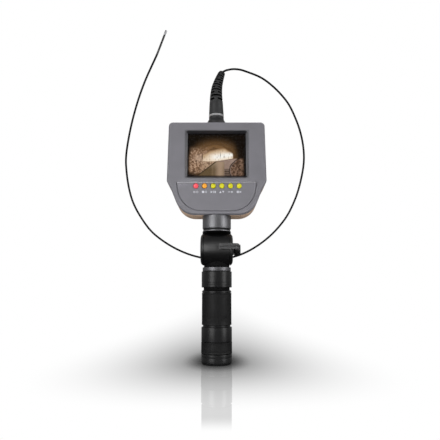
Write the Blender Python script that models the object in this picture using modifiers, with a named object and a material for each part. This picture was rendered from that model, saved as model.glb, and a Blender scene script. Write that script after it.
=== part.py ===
"""Handheld inspection camera: a battery handle, a clamped elbow, a screen head and a bendable probe.

Metres, +Z up.  The origin is the centre of the tail cap's flat end.  The screen faces -Y, +X is
to the right of someone who looks at the screen, and the elbow tilts about the X axis.
"""

import math

import bmesh
import bpy
from mathutils import Matrix, Vector
from mathutils.geometry import interpolate_bezier

# ---------------------------------------------------------------- driving dimensions
GAP = 0.0003                    # clearance between neighbouring pieces
RUNNING_GAP = 0.0004            # clearance of a piece that slides or turns in another

SLEEVE_RADIUS = 0.0182          # glossy sleeves of the handle
GRIP_RADIUS = 0.0178
BAND_RADIUS = 0.0184
TUBE_RADIUS = 0.0164            # aluminium tube seen in the grooves between the sleeves
TUBE_BORE = 0.0130
TAIL_TOP = 0.0124
BAND_SPAN = (0.0127, 0.0260)
BARREL_SPAN = (0.0263, 0.0433)
GRIP_SPAN = (0.0458, 0.0834)
COLLAR_SPAN = (0.0898, 0.1090)
TUBE_SPAN = (0.0127, 0.1087)
ELBOW_RING_SPAN = (0.1093, 0.1139)
ELBOW_RING_RADIUS = 0.0171

ELBOW_Z = 0.1356                # height of the tilt axis
ELBOW_RADIUS = 0.0213
ELBOW_HALF_WIDTH = 0.0195
ELBOW_EDGE = 0.0055             # rounding of the elbow's two ends
BARREL_HALF = 0.0157            # the fixed middle of the elbow
BOLT_RADIUS = 0.0040
BOLT_BORE = BOLT_RADIUS + GAP

BRIDGE_SPAN = (0.1572, 0.1586)  # plate that joins the two cheeks above the barrel
SEAL_SPAN = (0.1589, 0.1602)
NECK_BOTTOM = 0.1605
NECK_RADIUS = 0.0174
SPINDLE_RADIUS = 0.0110
SPIGOT_RADIUS = 0.0130          # the neck's thin end, which enters the head

HEAD_BOTTOM = 0.1770
HEAD_TOP = 0.2903
HEAD_FRONT = -0.0210
HEAD_BACK = 0.0310
PARTING = -0.0072               # where the front and rear shells meet
WALL = 0.0024
SHELL_EDGE = 0.0028             # rounding of the shells' front and back edges
SCREW_TIP = -0.0150             # the case screws' front ends
# Right half of the head's outline, top to bottom: x, z and the corner's radius.
HEAD_CORNERS = (
    (0.0586, HEAD_TOP, 0.0050),
    (0.0603, 0.2168, 0.0070),
    (0.0546, 0.2062, 0.0060),
    (0.0430, HEAD_BOTTOM, 0.0240),
)
# Right half of the keypad panel's outline.
PANEL_CORNERS = (
    (0.0480, 0.2157, 0.0008),
    (0.0462, 0.2035, 0.0100),
    (0.0400, 0.1806, 0.0290),
)
PANEL_DEPTH = 0.0017

SCREEN_CENTRE_Z = 0.2501
SCREEN_OPENING = (0.0770, 0.0598)
SCREEN_PICTURE = (0.0713, 0.0535)
SCREEN_RECESS = 0.0048

BUTTON_COUNT = 6
BUTTON_PITCH = 0.0104
BUTTON_RADIUS = 0.0030
BUTTON_ROW_X = 0.0010
BUTTON_Z = 0.2106

PROBE_X = -0.0006               # the probe leaves the head's top a little left of the middle
SOCKET_RADIUS = 0.0051
PROBE_NUT_SPAN = (0.2906, 0.3031)
PROBE_RING_SPAN = (0.3034, 0.3059)
PROBE_NUT_RADIUS = 0.0094
NUT_FLARE_RADIUS = 0.0114       # the nut's wide foot on the head
PROBE_RADIUS = 0.0013
TURN_STEPS = 24

# Route of the strain relief: x, y, z and its radius there.
BOOT_ROUTE = (
    (-0.0006, 0.0000, 0.3062, 0.0093),
    (-0.0008, 0.0000, 0.3200, 0.0086),
    (-0.0008, 0.0008, 0.3330, 0.0077),
    (0.0001, 0.0024, 0.3435, 0.0069),
    (0.0024, 0.0042, 0.3535, 0.0058),
    (0.0053, 0.0060, 0.3625, 0.0048),
    (0.0072, 0.0070, 0.3670, 0.0040),
)
# Route of the probe, from the strain relief's end round behind the elbow to the camera head.
PROBE_ROUTE = (
    (0.0081, 0.0074, 0.3678),
    (0.0130, 0.0082, 0.3704),
    (0.0230, 0.0095, 0.3724),
    (0.0350, 0.0120, 0.3714),
    (0.0632, 0.0180, 0.3612),
    (0.0910, 0.0240, 0.3360),
    (0.1050, 0.0280, 0.3098),
    (0.1130, 0.0320, 0.2837),
    (0.1150, 0.0340, 0.2570),
    (0.1109, 0.0370, 0.2306),
    (0.1026, 0.0390, 0.2041),
    (0.0885, 0.0410, 0.1778),
    (0.0634, 0.0430, 0.1516),
    (0.0305, 0.0450, 0.1324),
    (-0.0035, 0.0450, 0.1266),
    (-0.0428, 0.0440, 0.1352),
    (-0.0809, 0.0420, 0.1581),
    (-0.1015, 0.0380, 0.1840),
    (-0.1131, 0.0340, 0.2099),
    (-0.1190, 0.0280, 0.2487),
    (-0.1170, 0.0240, 0.2745),
    (-0.1086, 0.0180, 0.3131),
    (-0.0959, 0.0120, 0.3517),
    (-0.0779, 0.0060, 0.3915),
)
# The camera head lies on one straight line beyond the route's last point.
TIP_END = (-0.0660, 0.0010, 0.4214)
TIP_RADIUS = 0.0013
TIP_RING_RADIUS = 0.0014


# ---------------------------------------------------------------- scene and materials
def clear_scene():
    for item in list(bpy.data.objects):
        bpy.data.objects.remove(item, do_unlink=True)


def new_collection(name):
    collection = bpy.data.collections.new(name)
    bpy.context.scene.collection.children.link(collection)
    return collection


def new_material(name, colour, roughness, metallic=0.0, alpha=1.0):
    material = bpy.data.materials.new(name)
    material.use_nodes = True
    shader = material.node_tree.nodes["Principled BSDF"]
    shader.inputs["Base Color"].default_value = (*colour, 1.0)
    shader.inputs["Roughness"].default_value = roughness
    shader.inputs["Metallic"].default_value = metallic
    shader.inputs["Alpha"].default_value = alpha
    return material


clear_scene()
PARTS = new_collection("inspection_camera")
CUTTERS = new_collection("cutters")

GREY_SHELL = new_material("grey_shell", (0.20, 0.20, 0.22), 0.50)
TAN_SHELL = new_material("tan_shell", (0.36, 0.24, 0.17), 0.55)
BLACK_GLOSS = new_material("black_gloss", (0.02, 0.02, 0.02), 0.25)
BLACK_MATTE = new_material("black_matte", (0.02, 0.02, 0.02), 0.70)
BLACK_RUBBER = new_material("black_rubber", (0.03, 0.03, 0.03), 0.85)
SATIN_METAL = new_material("satin_metal", (0.42, 0.42, 0.44), 0.38, metallic=1.0)
DARK_METAL = new_material("dark_metal", (0.12, 0.12, 0.13), 0.40, metallic=1.0)
BRASS = new_material("brass", (0.70, 0.50, 0.22), 0.30, metallic=1.0)
CLEAR = new_material("clear", (0.90, 0.92, 0.95), 0.05, alpha=0.3)
BOARD_GREEN = new_material("board_green", (0.03, 0.16, 0.07), 0.50)
SCREEN_DARK = new_material("screen_dark", (0.05, 0.04, 0.03), 0.20)
CELL_WRAP = new_material("cell_wrap", (0.05, 0.12, 0.30), 0.40)
BUTTON_RED = new_material("button_red", (0.80, 0.07, 0.09), 0.40)
BUTTON_ORANGE = new_material("button_orange", (0.80, 0.32, 0.03), 0.40)
BUTTON_YELLOW = new_material("button_yellow", (0.68, 0.58, 0.02), 0.40)


# ---------------------------------------------------------------- small modelling helpers
def frame_at(position=(0, 0, 0), rotation=(0, 0, 0)):
    """An empty that pieces hang from, such as a joint's axis."""
    empty = bpy.data.objects.new("frame", None)
    PARTS.objects.link(empty)
    empty.location = position
    empty.rotation_euler = rotation
    return empty


def place(item, parent, position=None, rotation=None):
    """Parent an item; the position is in the parent's frame."""
    item.parent = parent
    if position is not None:
        item.location = position
    if rotation is not None:
        item.rotation_euler = rotation
    return item


def add_mesh(name, mesh, material, cutter=False):
    item = bpy.data.objects.new(name, mesh)
    if cutter:
        CUTTERS.objects.link(item)
        item.hide_render = True
        item.display_type = "WIRE"
    else:
        PARTS.objects.link(item)
        mesh.materials.append(material)
        mesh.shade_smooth()
        mesh.set_sharp_from_angle(angle=math.radians(35))
    return item


def as_mesh(item, name, material, cutter=False):
    """The item's evaluated shape as a mesh object of its own; the item goes."""
    bpy.context.view_layer.update()
    evaluated = item.evaluated_get(bpy.context.evaluated_depsgraph_get())
    mesh = bpy.data.meshes.new_from_object(evaluated)
    shape = bmesh.new()
    shape.from_mesh(mesh)
    bmesh.ops.remove_doubles(shape, verts=shape.verts, dist=1e-6)
    bmesh.ops.recalc_face_normals(shape, faces=shape.faces)
    shape.to_mesh(mesh)
    shape.free()
    mesh.materials.clear()
    matrix = item.matrix_world.copy()
    bpy.data.objects.remove(item, do_unlink=True)
    result = add_mesh(name, mesh, material, cutter)
    result.matrix_world = matrix
    return result


def turned(name, profile, material, closed=False, cutter=False, steps=TURN_STEPS):
    """A profile of (radius, height) turned about Z; it runs down the outer side, top to bottom."""
    mesh = bpy.data.meshes.new(name)
    links = [(i, i + 1) for i in range(len(profile) - 1)]
    if closed:
        links.append((len(profile) - 1, 0))
    mesh.from_pydata([(radius, 0.0, height) for radius, height in profile], links, [])
    item = bpy.data.objects.new(name, mesh)
    PARTS.objects.link(item)
    screw = item.modifiers.new("turn", "SCREW")
    screw.steps = steps
    screw.render_steps = steps
    screw.use_merge_vertices = True
    screw.merge_threshold = 1e-6
    return as_mesh(item, name, material, cutter)


def disc_profile(bottom, top, radius, edge=0.0):
    """Profile of a solid disc or rod with chamfered edges."""
    if edge == 0.0:
        return [(0, top), (radius, top), (radius, bottom), (0, bottom)]
    return [(0, top), (radius - edge, top), (radius, top - edge),
            (radius, bottom + edge), (radius - edge, bottom), (0, bottom)]


def sleeve_profile(bottom, top, radius, bore, edge=0.0004):
    """Closed profile of a ring with chamfered outer edges."""
    return [(bore, top), (radius - edge, top), (radius, top - edge),
            (radius, bottom + edge), (radius - edge, bottom), (bore, bottom)]


def disc(name, bottom, top, radius, material, edge=0.0, cutter=False, steps=TURN_STEPS):
    return turned(name, disc_profile(bottom, top, radius, edge), material, False, cutter, steps)


def sleeve(name, span, radius, bore, material, edge=0.0004, steps=TURN_STEPS):
    profile = sleeve_profile(span[0], span[1], radius, bore, edge)
    return turned(name, profile, material, closed=True, steps=steps)


def box(name, low, high, material, edge=0.0, cutter=False):
    """A box between two corners, with an optional bevel on every edge."""
    size = Vector(high) - Vector(low)
    mesh = bpy.data.meshes.new(name)
    shape = bmesh.new()
    bmesh.ops.create_cube(shape, size=1.0, matrix=Matrix.Diagonal((*size, 1.0)))
    shape.to_mesh(mesh)
    shape.free()
    item = add_mesh(name, mesh, material, cutter)
    item.location = (Vector(high) + Vector(low)) / 2
    if edge > 0.0:
        bevel = item.modifiers.new("edges", "BEVEL")
        bevel.width = edge
        bevel.segments = 2
    return item


def boolean(item, other, operation="DIFFERENCE"):
    """Cut, join or intersect with a helper object, which stays as a hidden guide."""
    modifier = item.modifiers.new(operation.lower(), "BOOLEAN")
    modifier.operation = operation
    modifier.solver = "EXACT"
    modifier.object = other
    return item


def rounded(corners, steps=4):
    """A closed outline through (x, z, radius) corners, each rounded with an arc."""
    points = []
    count = len(corners)
    for i, (x, z, radius) in enumerate(corners):
        corner = Vector((x, z))
        before = (Vector(corners[i - 1][:2]) - corner).normalized()
        after = (Vector(corners[(i + 1) % count][:2]) - corner).normalized()
        half = before.angle(after) / 2
        if radius < 1e-6 or half > math.pi / 2 - 1e-3:
            points.append(corner)
            continue
        centre = corner + (before + after).normalized() * (radius / math.sin(half))
        start = corner + before * (radius / math.tan(half)) - centre
        end = corner + after * (radius / math.tan(half)) - centre
        turn = start.angle_signed(end)
        for step in range(steps + 1):
            points.append(centre + Matrix.Rotation(-turn * step / steps, 2) @ start)
    return points


def mirrored(corners):
    """Both halves of an outline that is symmetric about x = 0, clockwise from the top right."""
    return list(corners) + [(-x, z, radius) for x, z, radius in reversed(corners)]


def inset(corners, distance):
    """The outline's corners moved inwards by a distance; a negative one moves them outwards."""
    result = []
    count = len(corners)
    for i, (x, z, radius) in enumerate(corners):
        corner = Vector((x, z))
        into = (corner - Vector(corners[i - 1][:2])).normalized()
        out = (Vector(corners[(i + 1) % count][:2]) - corner).normalized()
        normal_in = Vector((into.y, -into.x))
        normal_out = Vector((out.y, -out.x))
        bisector = (normal_in + normal_out).normalized()
        moved = corner + bisector * (distance / bisector.dot(normal_in))
        convex = into.x * out.y - into.y * out.x < 0
        new_radius = max(radius - distance, 0.0004) if convex else radius + distance
        result.append((moved.x, moved.y, new_radius))
    return result


def plate(name, outline, front, back, material, edge=0.0, cutter=False):
    """A flat outline in X and Z, from y = front to y = back, with rounded edges if edge is set."""
    curve = bpy.data.curves.new(name, "CURVE")
    curve.dimensions = "2D"
    curve.fill_mode = "BOTH"
    curve.extrude = (back - front) / 2 - edge
    curve.bevel_depth = edge
    curve.bevel_resolution = 1
    curve.offset = -edge
    spline = curve.splines.new("POLY")
    spline.points.add(len(outline) - 1)
    for point, position in zip(spline.points, outline):
        point.co = (position.x, position.y, 0.0, 1.0)
    spline.use_cyclic_u = True
    item = bpy.data.objects.new(name, curve)
    PARTS.objects.link(item)
    item.rotation_euler = (math.pi / 2, 0, 0)
    item.location = (0, (front + back) / 2, 0)
    return as_mesh(item, name, material, cutter)


def rectangle(width, height, centre_z, radius=0.0):
    """Corners of an upright rectangle centred on x = 0, clockwise from the top right."""
    top = centre_z + height / 2
    bottom = centre_z - height / 2
    return mirrored([(width / 2, top, radius), (width / 2, bottom, radius)])


def smooth_path(points, per_span):
    """A smooth curve through the points, as a list of evenly numbered points."""
    places = [Vector(point) for point in points]
    path = []
    for i in range(len(places) - 1):
        start, end = places[i], places[i + 1]
        before = places[max(i - 1, 0)]
        after = places[min(i + 2, len(places) - 1)]
        handle = (end - start).length / 3
        leave = start + (end - before).normalized() * handle
        arrive = end - (after - start).normalized() * handle
        path += interpolate_bezier(start, leave, arrive, end, per_span + 1)[:-1]
    path.append(places[-1])
    return path


def rod(name, path, radii, material, sides=2):
    """A round bar along a path, whose radius may change from point to point."""
    curve = bpy.data.curves.new(name, "CURVE")
    curve.dimensions = "3D"
    curve.bevel_depth = 1.0
    curve.bevel_resolution = sides
    curve.use_fill_caps = True
    spline = curve.splines.new("POLY")
    spline.points.add(len(path) - 1)
    for point, position, radius in zip(spline.points, path, radii):
        point.co = (*position, 1.0)
        point.radius = radius
    item = bpy.data.objects.new(name, curve)
    PARTS.objects.link(item)
    return as_mesh(item, name, material)


def along_x(item, parent):
    """Turn a piece made along Z so that its own +Z points to +X, and hang it from a frame."""
    return place(item, parent, (0, 0, 0), (0, math.pi / 2, 0))


# ---------------------------------------------------------------- handle
def build_handle():
    sleeve("handle_tube", TUBE_SPAN, TUBE_RADIUS, TUBE_BORE, DARK_METAL)
    sleeve_bore = TUBE_RADIUS + GAP
    sleeve("lower_barrel", BARREL_SPAN, SLEEVE_RADIUS, sleeve_bore, BLACK_GLOSS)
    sleeve("grip_sleeve", GRIP_SPAN, GRIP_RADIUS, sleeve_bore, BLACK_RUBBER)
    sleeve("upper_collar", COLLAR_SPAN, SLEEVE_RADIUS, sleeve_bore, BLACK_GLOSS)
    sleeve("elbow_ring", ELBOW_RING_SPAN, ELBOW_RING_RADIUS, 0.0128, SATIN_METAL)


def build_tail():
    """The screw-off end of the handle, whose spigot reaches into the tube."""
    spigot = TUBE_BORE - RUNNING_GAP
    groove_z, groove_half = 0.0180, 0.0010
    profile = [
        (0, 0.0220), (spigot, 0.0220), (spigot, groove_z + groove_half),
        (0.0107, groove_z + groove_half), (0.0107, groove_z - groove_half),
        (spigot, groove_z - groove_half), (spigot, TAIL_TOP),
        (SLEEVE_RADIUS, TAIL_TOP), (SLEEVE_RADIUS, 0.0090), (0.0177, 0.0086), (0.0177, 0.0082),
        (SLEEVE_RADIUS, 0.0078), (SLEEVE_RADIUS, 0.0024), (0.0177, 0.0009), (0.0164, 0.0),
        (0, 0.0),
    ]
    turned("tail_cap", profile, BLACK_GLOSS)
    sleeve("knurled_band", BAND_SPAN, BAND_RADIUS, TUBE_RADIUS + RUNNING_GAP, BLACK_MATTE)
    bpy.ops.mesh.primitive_torus_add(major_radius=0.0118, minor_radius=0.0007, major_segments=24,
                                     minor_segments=6, location=(0, 0, groove_z))
    ring = bpy.context.object
    as_mesh(ring, "tail_seal", BLACK_RUBBER)
    build_tail_spring()


def build_tail_spring():
    turns, per_turn, wire = 3, 12, 0.0006
    bottom, top = 0.0220 + GAP + wire, 0.0300
    path = []
    for step in range(turns * per_turn + 1):
        share = step / (turns * per_turn)
        angle = 2 * math.pi * turns * share
        radius = 0.0075 - 0.0030 * share
        path.append((radius * math.cos(angle), radius * math.sin(angle), bottom + (top - bottom) * share))
    rod("tail_spring", path, [wire] * len(path), SATIN_METAL, sides=1)


def build_battery():
    cell_bottom, cell_top = 0.0312, 0.0960
    profile = [(0, cell_top + 0.0012), (0.0030, cell_top + 0.0012), (0.0030, cell_top),
               (0.0088, cell_top), (0.0092, cell_top - 0.0004), (0.0092, cell_bottom), (0, cell_bottom)]
    turned("battery_cell", profile, CELL_WRAP, steps=24)
    sleeve("battery_sleeve", (cell_bottom, cell_top), 0.0127, 0.0095, BLACK_MATTE, steps=24)
    disc("contact_plate", cell_top + 0.0015, cell_top + 0.0027, 0.0127, BRASS, steps=24)


# ---------------------------------------------------------------- elbow
def elbow_radius(x):
    """Radius of the elbow at a distance from its middle: a barrel with rounded ends."""
    past = abs(x) - (ELBOW_HALF_WIDTH - ELBOW_EDGE)
    if past <= 0:
        return ELBOW_RADIUS
    return ELBOW_RADIUS - ELBOW_EDGE + math.sqrt(max(ELBOW_EDGE ** 2 - past ** 2, 0.0))


def barrel_foot():
    """The wide collar below the barrel, which stands on the elbow ring, and its spigot in the handle."""
    collar_bottom = ELBOW_RING_SPAN[1] + GAP
    collar_top = ELBOW_Z - 0.0145
    collar_radius, spigot_radius, spigot_bottom = 0.0154, 0.0125, 0.1040
    profile = [(0, collar_top), (collar_radius, collar_top), (collar_radius, collar_bottom),
               (spigot_radius, collar_bottom), (spigot_radius, spigot_bottom + 0.0006),
               (spigot_radius - 0.0006, spigot_bottom), (0, spigot_bottom)]
    return turned("barrel_foot", profile, None, cutter=True)


def build_elbow_barrel(axis):
    """The fixed middle of the elbow, with a friction disc let into each end."""
    shoulder = ELBOW_HALF_WIDTH - ELBOW_EDGE
    pocket_radius, pocket_depth = 0.0140, 0.0018
    floor = BARREL_HALF - pocket_depth
    outer = [BARREL_HALF, (BARREL_HALF + shoulder) / 2, shoulder]
    outer += [-x for x in reversed(outer)]
    profile = [(elbow_radius(x), x) for x in outer]
    profile += [(pocket_radius, -BARREL_HALF), (pocket_radius, -floor), (BOLT_BORE, -floor),
                (BOLT_BORE, floor), (pocket_radius, floor), (pocket_radius, BARREL_HALF)]
    barrel = along_x(turned("elbow_barrel", profile, BLACK_GLOSS, closed=True, steps=32), axis)
    boolean(barrel, barrel_foot(), "UNION")
    for side, name in ((-1, "friction_disc_left"), (1, "friction_disc_right")):
        near, far = sorted((side * (floor + GAP / 2), side * (BARREL_HALF - 0.0001)))
        along_x(sleeve(name, (near, far), pocket_radius - GAP, BOLT_BORE, SATIN_METAL, edge=0.0001), axis)


def cheek_profile(near, far, bore):
    """One of the yoke's end discs, with the elbow's rounding on its rim."""
    steps = 4
    rim = [far - (far - near) * i / steps for i in range(steps + 1)]
    return [(bore, far)] + [(elbow_radius(x), x) for x in rim] + [(bore, near)]


def build_yoke(axis):
    """Two cheeks beside the barrel, joined by a plate above it that carries the neck's spindle."""
    cheek_near = BARREL_HALF + GAP
    right = along_x(turned("elbow_yoke", cheek_profile(cheek_near, ELBOW_HALF_WIDTH, BOLT_BORE),
                           BLACK_GLOSS, closed=True, steps=32), axis)
    left = along_x(turned("left_cheek", cheek_profile(cheek_near, ELBOW_HALF_WIDTH, BOLT_BORE),
                          None, closed=True, cutter=True, steps=32), axis)
    left.rotation_euler = (0, -math.pi / 2, 0)
    recess = disc("bolt_recess", ELBOW_HALF_WIDTH - 0.0022, ELBOW_HALF_WIDTH + 0.001, 0.0074,
                  None, cutter=True)
    along_x(recess, axis).rotation_euler = (0, -math.pi / 2, 0)
    boolean(left, recess)
    boolean(right, left, "UNION")
    for side, name in ((-1, "left_tab"), (1, "right_tab")):
        near, far = sorted((side * cheek_near, side * (cheek_near + 0.0012)))
        tab = box(name, (near, -0.0060, ELBOW_Z + 0.0140), (far, 0.0060, BRIDGE_SPAN[0] + 0.0007),
                  None, cutter=True)
        boolean(right, tab, "UNION")
    top = NECK_BOTTOM + 0.0280
    spindle = [(0, top), (0.0090, top), (0.0090, top - 0.0037), (SPINDLE_RADIUS, top - 0.0037),
               (SPINDLE_RADIUS, BRIDGE_SPAN[1]), (0.0165, BRIDGE_SPAN[1]), (0.0169, BRIDGE_SPAN[1] - 0.0004),
               (0.0169, BRIDGE_SPAN[0]), (0, BRIDGE_SPAN[0])]
    boolean(right, turned("spindle", spindle, None, cutter=True), "UNION")
    sleeve("neck_seal", SEAL_SPAN, 0.0165, SPINDLE_RADIUS + GAP, BLACK_RUBBER)
    sleeve("spindle_nut", (top - 0.0034, top - 0.0003), 0.0126, 0.0093, SATIN_METAL, steps=24)


def build_pivot(axis):
    """The bolt through the elbow and the spring washer under the lever."""
    head_face = ELBOW_HALF_WIDTH - 0.0004
    head_back = ELBOW_HALF_WIDTH - 0.0022 + GAP
    shaft_end = ELBOW_HALF_WIDTH + 0.0080
    bolt = [(0, shaft_end), (BOLT_RADIUS, shaft_end), (BOLT_RADIUS, -head_back), (0.0070, -head_back),
            (0.0070, -head_face + 0.0005), (0.0065, -head_face), (0, -head_face)]
    item = along_x(turned("pivot_bolt", bolt, SATIN_METAL, steps=20), axis)
    socket = disc("hex_socket", -head_face - 0.001, -head_face + 0.0030, 0.0026, None, cutter=True, steps=6)
    boolean(item, along_x(socket, axis))
    along_x(sleeve("spring_washer", (ELBOW_HALF_WIDTH + GAP, ELBOW_HALF_WIDTH + 0.0012), 0.0068,
                   BOLT_BORE, SATIN_METAL, edge=0.0002, steps=20), axis)


def build_lever(axis):
    """The clamp lever: a hub on the bolt's end, and a bar that reaches across the elbow's front."""
    hub_left = ELBOW_HALF_WIDTH + 0.0015
    hub_right = ELBOW_HALF_WIDTH + 0.0068
    hub_radius = 0.0073
    along_x(sleeve("lever_hub", (hub_left, hub_right), hub_radius, BOLT_BORE, BLACK_GLOSS,
                   edge=0.0006, steps=20), axis)
    along_x(sleeve("lever_ring", (hub_right + GAP, hub_right + 0.0012), 0.0071, BOLT_BORE,
                   SATIN_METAL, edge=0.0003, steps=20), axis)
    along_x(disc("lever_nut", hub_right + 0.0015, hub_right + 0.0026, 0.0062, BLACK_GLOSS,
                 edge=0.0005, steps=20), axis)
    arm_half = 0.0033
    arm_z = ELBOW_Z + 0.0022
    arm_front, arm_back = -0.0283, -0.0243
    leg_front_of_hub = -hub_radius - GAP
    corners = [
        (hub_right, leg_front_of_hub, 0.0004),
        (hub_right, arm_front, 0.0035),
        (0.0023, arm_front, 0.0019),
        (0.0023, arm_back, 0.0019),
        (hub_left, arm_back, 0.0015),
        (hub_left, leg_front_of_hub, 0.0004),
    ]
    outline = [Vector((point.x, -point.y)) for point in rounded(corners, steps=4)]
    arm = plate("lever_arm", outline, -arm_half, arm_half, BLACK_MATTE, edge=0.0008)
    arm.rotation_euler = (math.pi, 0, 0)
    arm.location = (0, 0, arm_z)
    return arm


# ---------------------------------------------------------------- head
def head_outline(distance=0.0):
    return rounded(inset(mirrored(HEAD_CORNERS), distance))


def screw_places():
    """Centres of the four case screws, in x and z."""
    return [(side * x, z) for x, z in ((0.0510, 0.2790), (0.0440, 0.1990)) for side in (-1, 1)]


def along_y(item, x, z):
    """Turn a piece made along Z so that its own +Z points to +Y, and put its axis at x, z."""
    item.rotation_euler = (-math.pi / 2, 0, 0)
    item.location = (x, 0, z)
    return item


def shell_cutters():
    """What both shells are cut with: the hollow inside and the neck's hole."""
    hollow = plate("hollow", head_outline(WALL), HEAD_FRONT + WALL, HEAD_BACK - WALL, None, cutter=True)
    neck_hole = disc("neck_hole", HEAD_BOTTOM - 0.004, HEAD_BOTTOM + 0.006, SPIGOT_RADIUS + GAP,
                     None, cutter=True)
    return hollow, neck_hole


def build_front_shell(hollow, neck_hole):
    shell = plate("front_shell", head_outline(), HEAD_FRONT, HEAD_BACK, GREY_SHELL, edge=SHELL_EDGE)
    boolean(shell, hollow)
    for index, (x, z) in enumerate(screw_places()):
        post = disc(f"front_post_{index}", HEAD_FRONT + WALL / 2, PARTING - 0.0010, 0.0036, None,
                    cutter=True, steps=16)
        boolean(shell, along_y(post, x, z), "UNION")
        pilot = disc(f"front_pilot_{index}", SCREW_TIP - 0.0010, PARTING + 0.001, 0.0017, None,
                     cutter=True, steps=12)
        boolean(shell, along_y(pilot, x, z))
    behind = box("behind_parting", (-0.1, PARTING, 0.1), (0.1, 0.05, 0.35), None, cutter=True)
    opening = plate("screen_opening", rounded(rectangle(*SCREEN_OPENING, SCREEN_CENTRE_Z, 0.0015), 3),
                    HEAD_FRONT - 0.002, HEAD_FRONT + 0.004, None, cutter=True)
    pocket = plate("panel_pocket", rounded(inset(mirrored(PANEL_CORNERS), -0.0004)),
                   HEAD_FRONT - 0.001, HEAD_FRONT + PANEL_DEPTH, None, cutter=True)
    for cutter in (neck_hole, behind, opening, pocket):
        boolean(shell, cutter)
    cut_button_holes(shell, "shell")


def build_rear_shell(hollow, neck_hole):
    seam = PARTING + 0.0011
    shell = plate("rear_shell", head_outline(), HEAD_FRONT, HEAD_BACK, TAN_SHELL, edge=SHELL_EDGE)
    boolean(shell, hollow)
    for index, (x, z) in enumerate(screw_places()):
        post = disc(f"rear_post_{index}", seam + 0.0010, HEAD_BACK - WALL / 2, 0.0044, None,
                    cutter=True, steps=16)
        boolean(shell, along_y(post, x, z), "UNION")
        hole = disc(f"screw_hole_{index}", seam - 0.001, HEAD_BACK - 0.0010, 0.0019, None,
                    cutter=True, steps=12)
        counterbore = disc(f"counterbore_{index}", HEAD_BACK - 0.0032, HEAD_BACK + 0.001, 0.0032, None,
                           cutter=True, steps=16)
        boolean(shell, along_y(hole, x, z))
        boolean(shell, along_y(counterbore, x, z))
    front = box("before_seam", (-0.1, -0.05, 0.1), (0.1, seam, 0.35), None, cutter=True)
    probe_hole = disc("probe_hole", HEAD_TOP - 0.006, HEAD_TOP + 0.004, SOCKET_RADIUS + GAP, None,
                      cutter=True)
    probe_hole.location.x = PROBE_X
    for cutter in (neck_hole, probe_hole, front):
        boolean(shell, cutter)


def build_gasket():
    """The rubber cord between the two shells, open at the bottom where the neck enters."""
    gasket = plate("shell_gasket", head_outline(0.0005), PARTING + GAP, PARTING + 0.0008, BLACK_RUBBER)
    inside = plate("gasket_inside", head_outline(WALL - 0.0002), PARTING - 0.001, PARTING + 0.002, None,
                   cutter=True)
    mouth = box("gasket_mouth", (-0.016, -0.05, HEAD_BOTTOM - 0.004), (0.016, 0.05, HEAD_BOTTOM + 0.006),
                None, cutter=True)
    for cutter in (inside, mouth):
        boolean(gasket, cutter)


def build_case_screws():
    for index, (x, z) in enumerate(screw_places(), start=1):
        top = HEAD_BACK - 0.0008
        profile = [(0, top), (0.0024, top), (0.0028, top - 0.0004), (0.0028, top - 0.0021),
                   (0.0014, top - 0.0021), (0.0014, SCREW_TIP), (0, SCREW_TIP)]
        screw = turned(f"case_screw_{index}", profile, DARK_METAL, steps=16)
        along_y(screw, x, z)
        socket = disc(f"screw_socket_{index}", top - 0.0012, top + 0.001, 0.0011, None, cutter=True, steps=6)
        boolean(screw, along_y(socket, x, z))


def build_screen():
    """The sloping bezel, the clear window, the display panel and its metal tray."""
    width, height = (side - 2 * GAP for side in SCREEN_OPENING)
    front, back = HEAD_FRONT + 0.0002, HEAD_FRONT + SCREEN_RECESS
    bezel = plate("screen_bezel", rounded(rectangle(width, height, SCREEN_CENTRE_Z, 0.0012), 3),
                  front, back, BLACK_MATTE)
    mesh = bpy.data.meshes.new("bezel_funnel")
    shape = bmesh.new()
    bmesh.ops.create_cube(shape, size=1.0)
    reach = 0.0010
    for vertex in shape.verts:
        at_front = vertex.co.y < 0
        lip = 0.0006 if at_front else 0.0
        half_width = (width / 2 - lip) if at_front else SCREEN_PICTURE[0] / 2
        half_height = (height / 2 - lip) if at_front else SCREEN_PICTURE[1] / 2
        vertex.co.x = math.copysign(half_width, vertex.co.x)
        vertex.co.z = math.copysign(half_height, vertex.co.z)
        vertex.co.y = front - reach * 0.1 if at_front else back + reach
    shape.to_mesh(mesh)
    shape.free()
    funnel = add_mesh("bezel_funnel", mesh, None, cutter=True)
    funnel.location.z = SCREEN_CENTRE_Z
    boolean(bezel, funnel)
    plate("screen_window", rounded(rectangle(0.0752, 0.0574, SCREEN_CENTRE_Z, 0.001), 3),
          back + GAP, back + 0.0013, CLEAR)
    panel_front = back + 0.0016
    panel_size = (0.0760, 0.0620)
    plate("display_panel", rounded(rectangle(*panel_size, SCREEN_CENTRE_Z), 1),
          panel_front, panel_front + 0.0030, SCREEN_DARK)
    tray = box("display_tray", (-0.0395, panel_front + 0.0006, SCREEN_CENTRE_Z - 0.0325),
               (0.0395, panel_front + 0.0045, SCREEN_CENTRE_Z + 0.0325), SATIN_METAL)
    hollow = box("tray_hollow", (-0.0384, panel_front - 0.001, SCREEN_CENTRE_Z - 0.0314),
                 (0.0384, panel_front + 0.0034, SCREEN_CENTRE_Z + 0.0314), None, cutter=True)
    boolean(tray, hollow)


def button_places():
    first = BUTTON_ROW_X - BUTTON_PITCH * (BUTTON_COUNT - 1) / 2
    return [first + BUTTON_PITCH * index for index in range(BUTTON_COUNT)]


def cut_button_holes(item, label):
    for index, x in enumerate(button_places(), start=1):
        hole = disc(f"{label}_hole_{index}", HEAD_FRONT - 0.002, HEAD_FRONT + 0.004,
                    BUTTON_RADIUS + RUNNING_GAP, None, cutter=True, steps=16)
        boolean(item, along_y(hole, x, BUTTON_Z))


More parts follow.
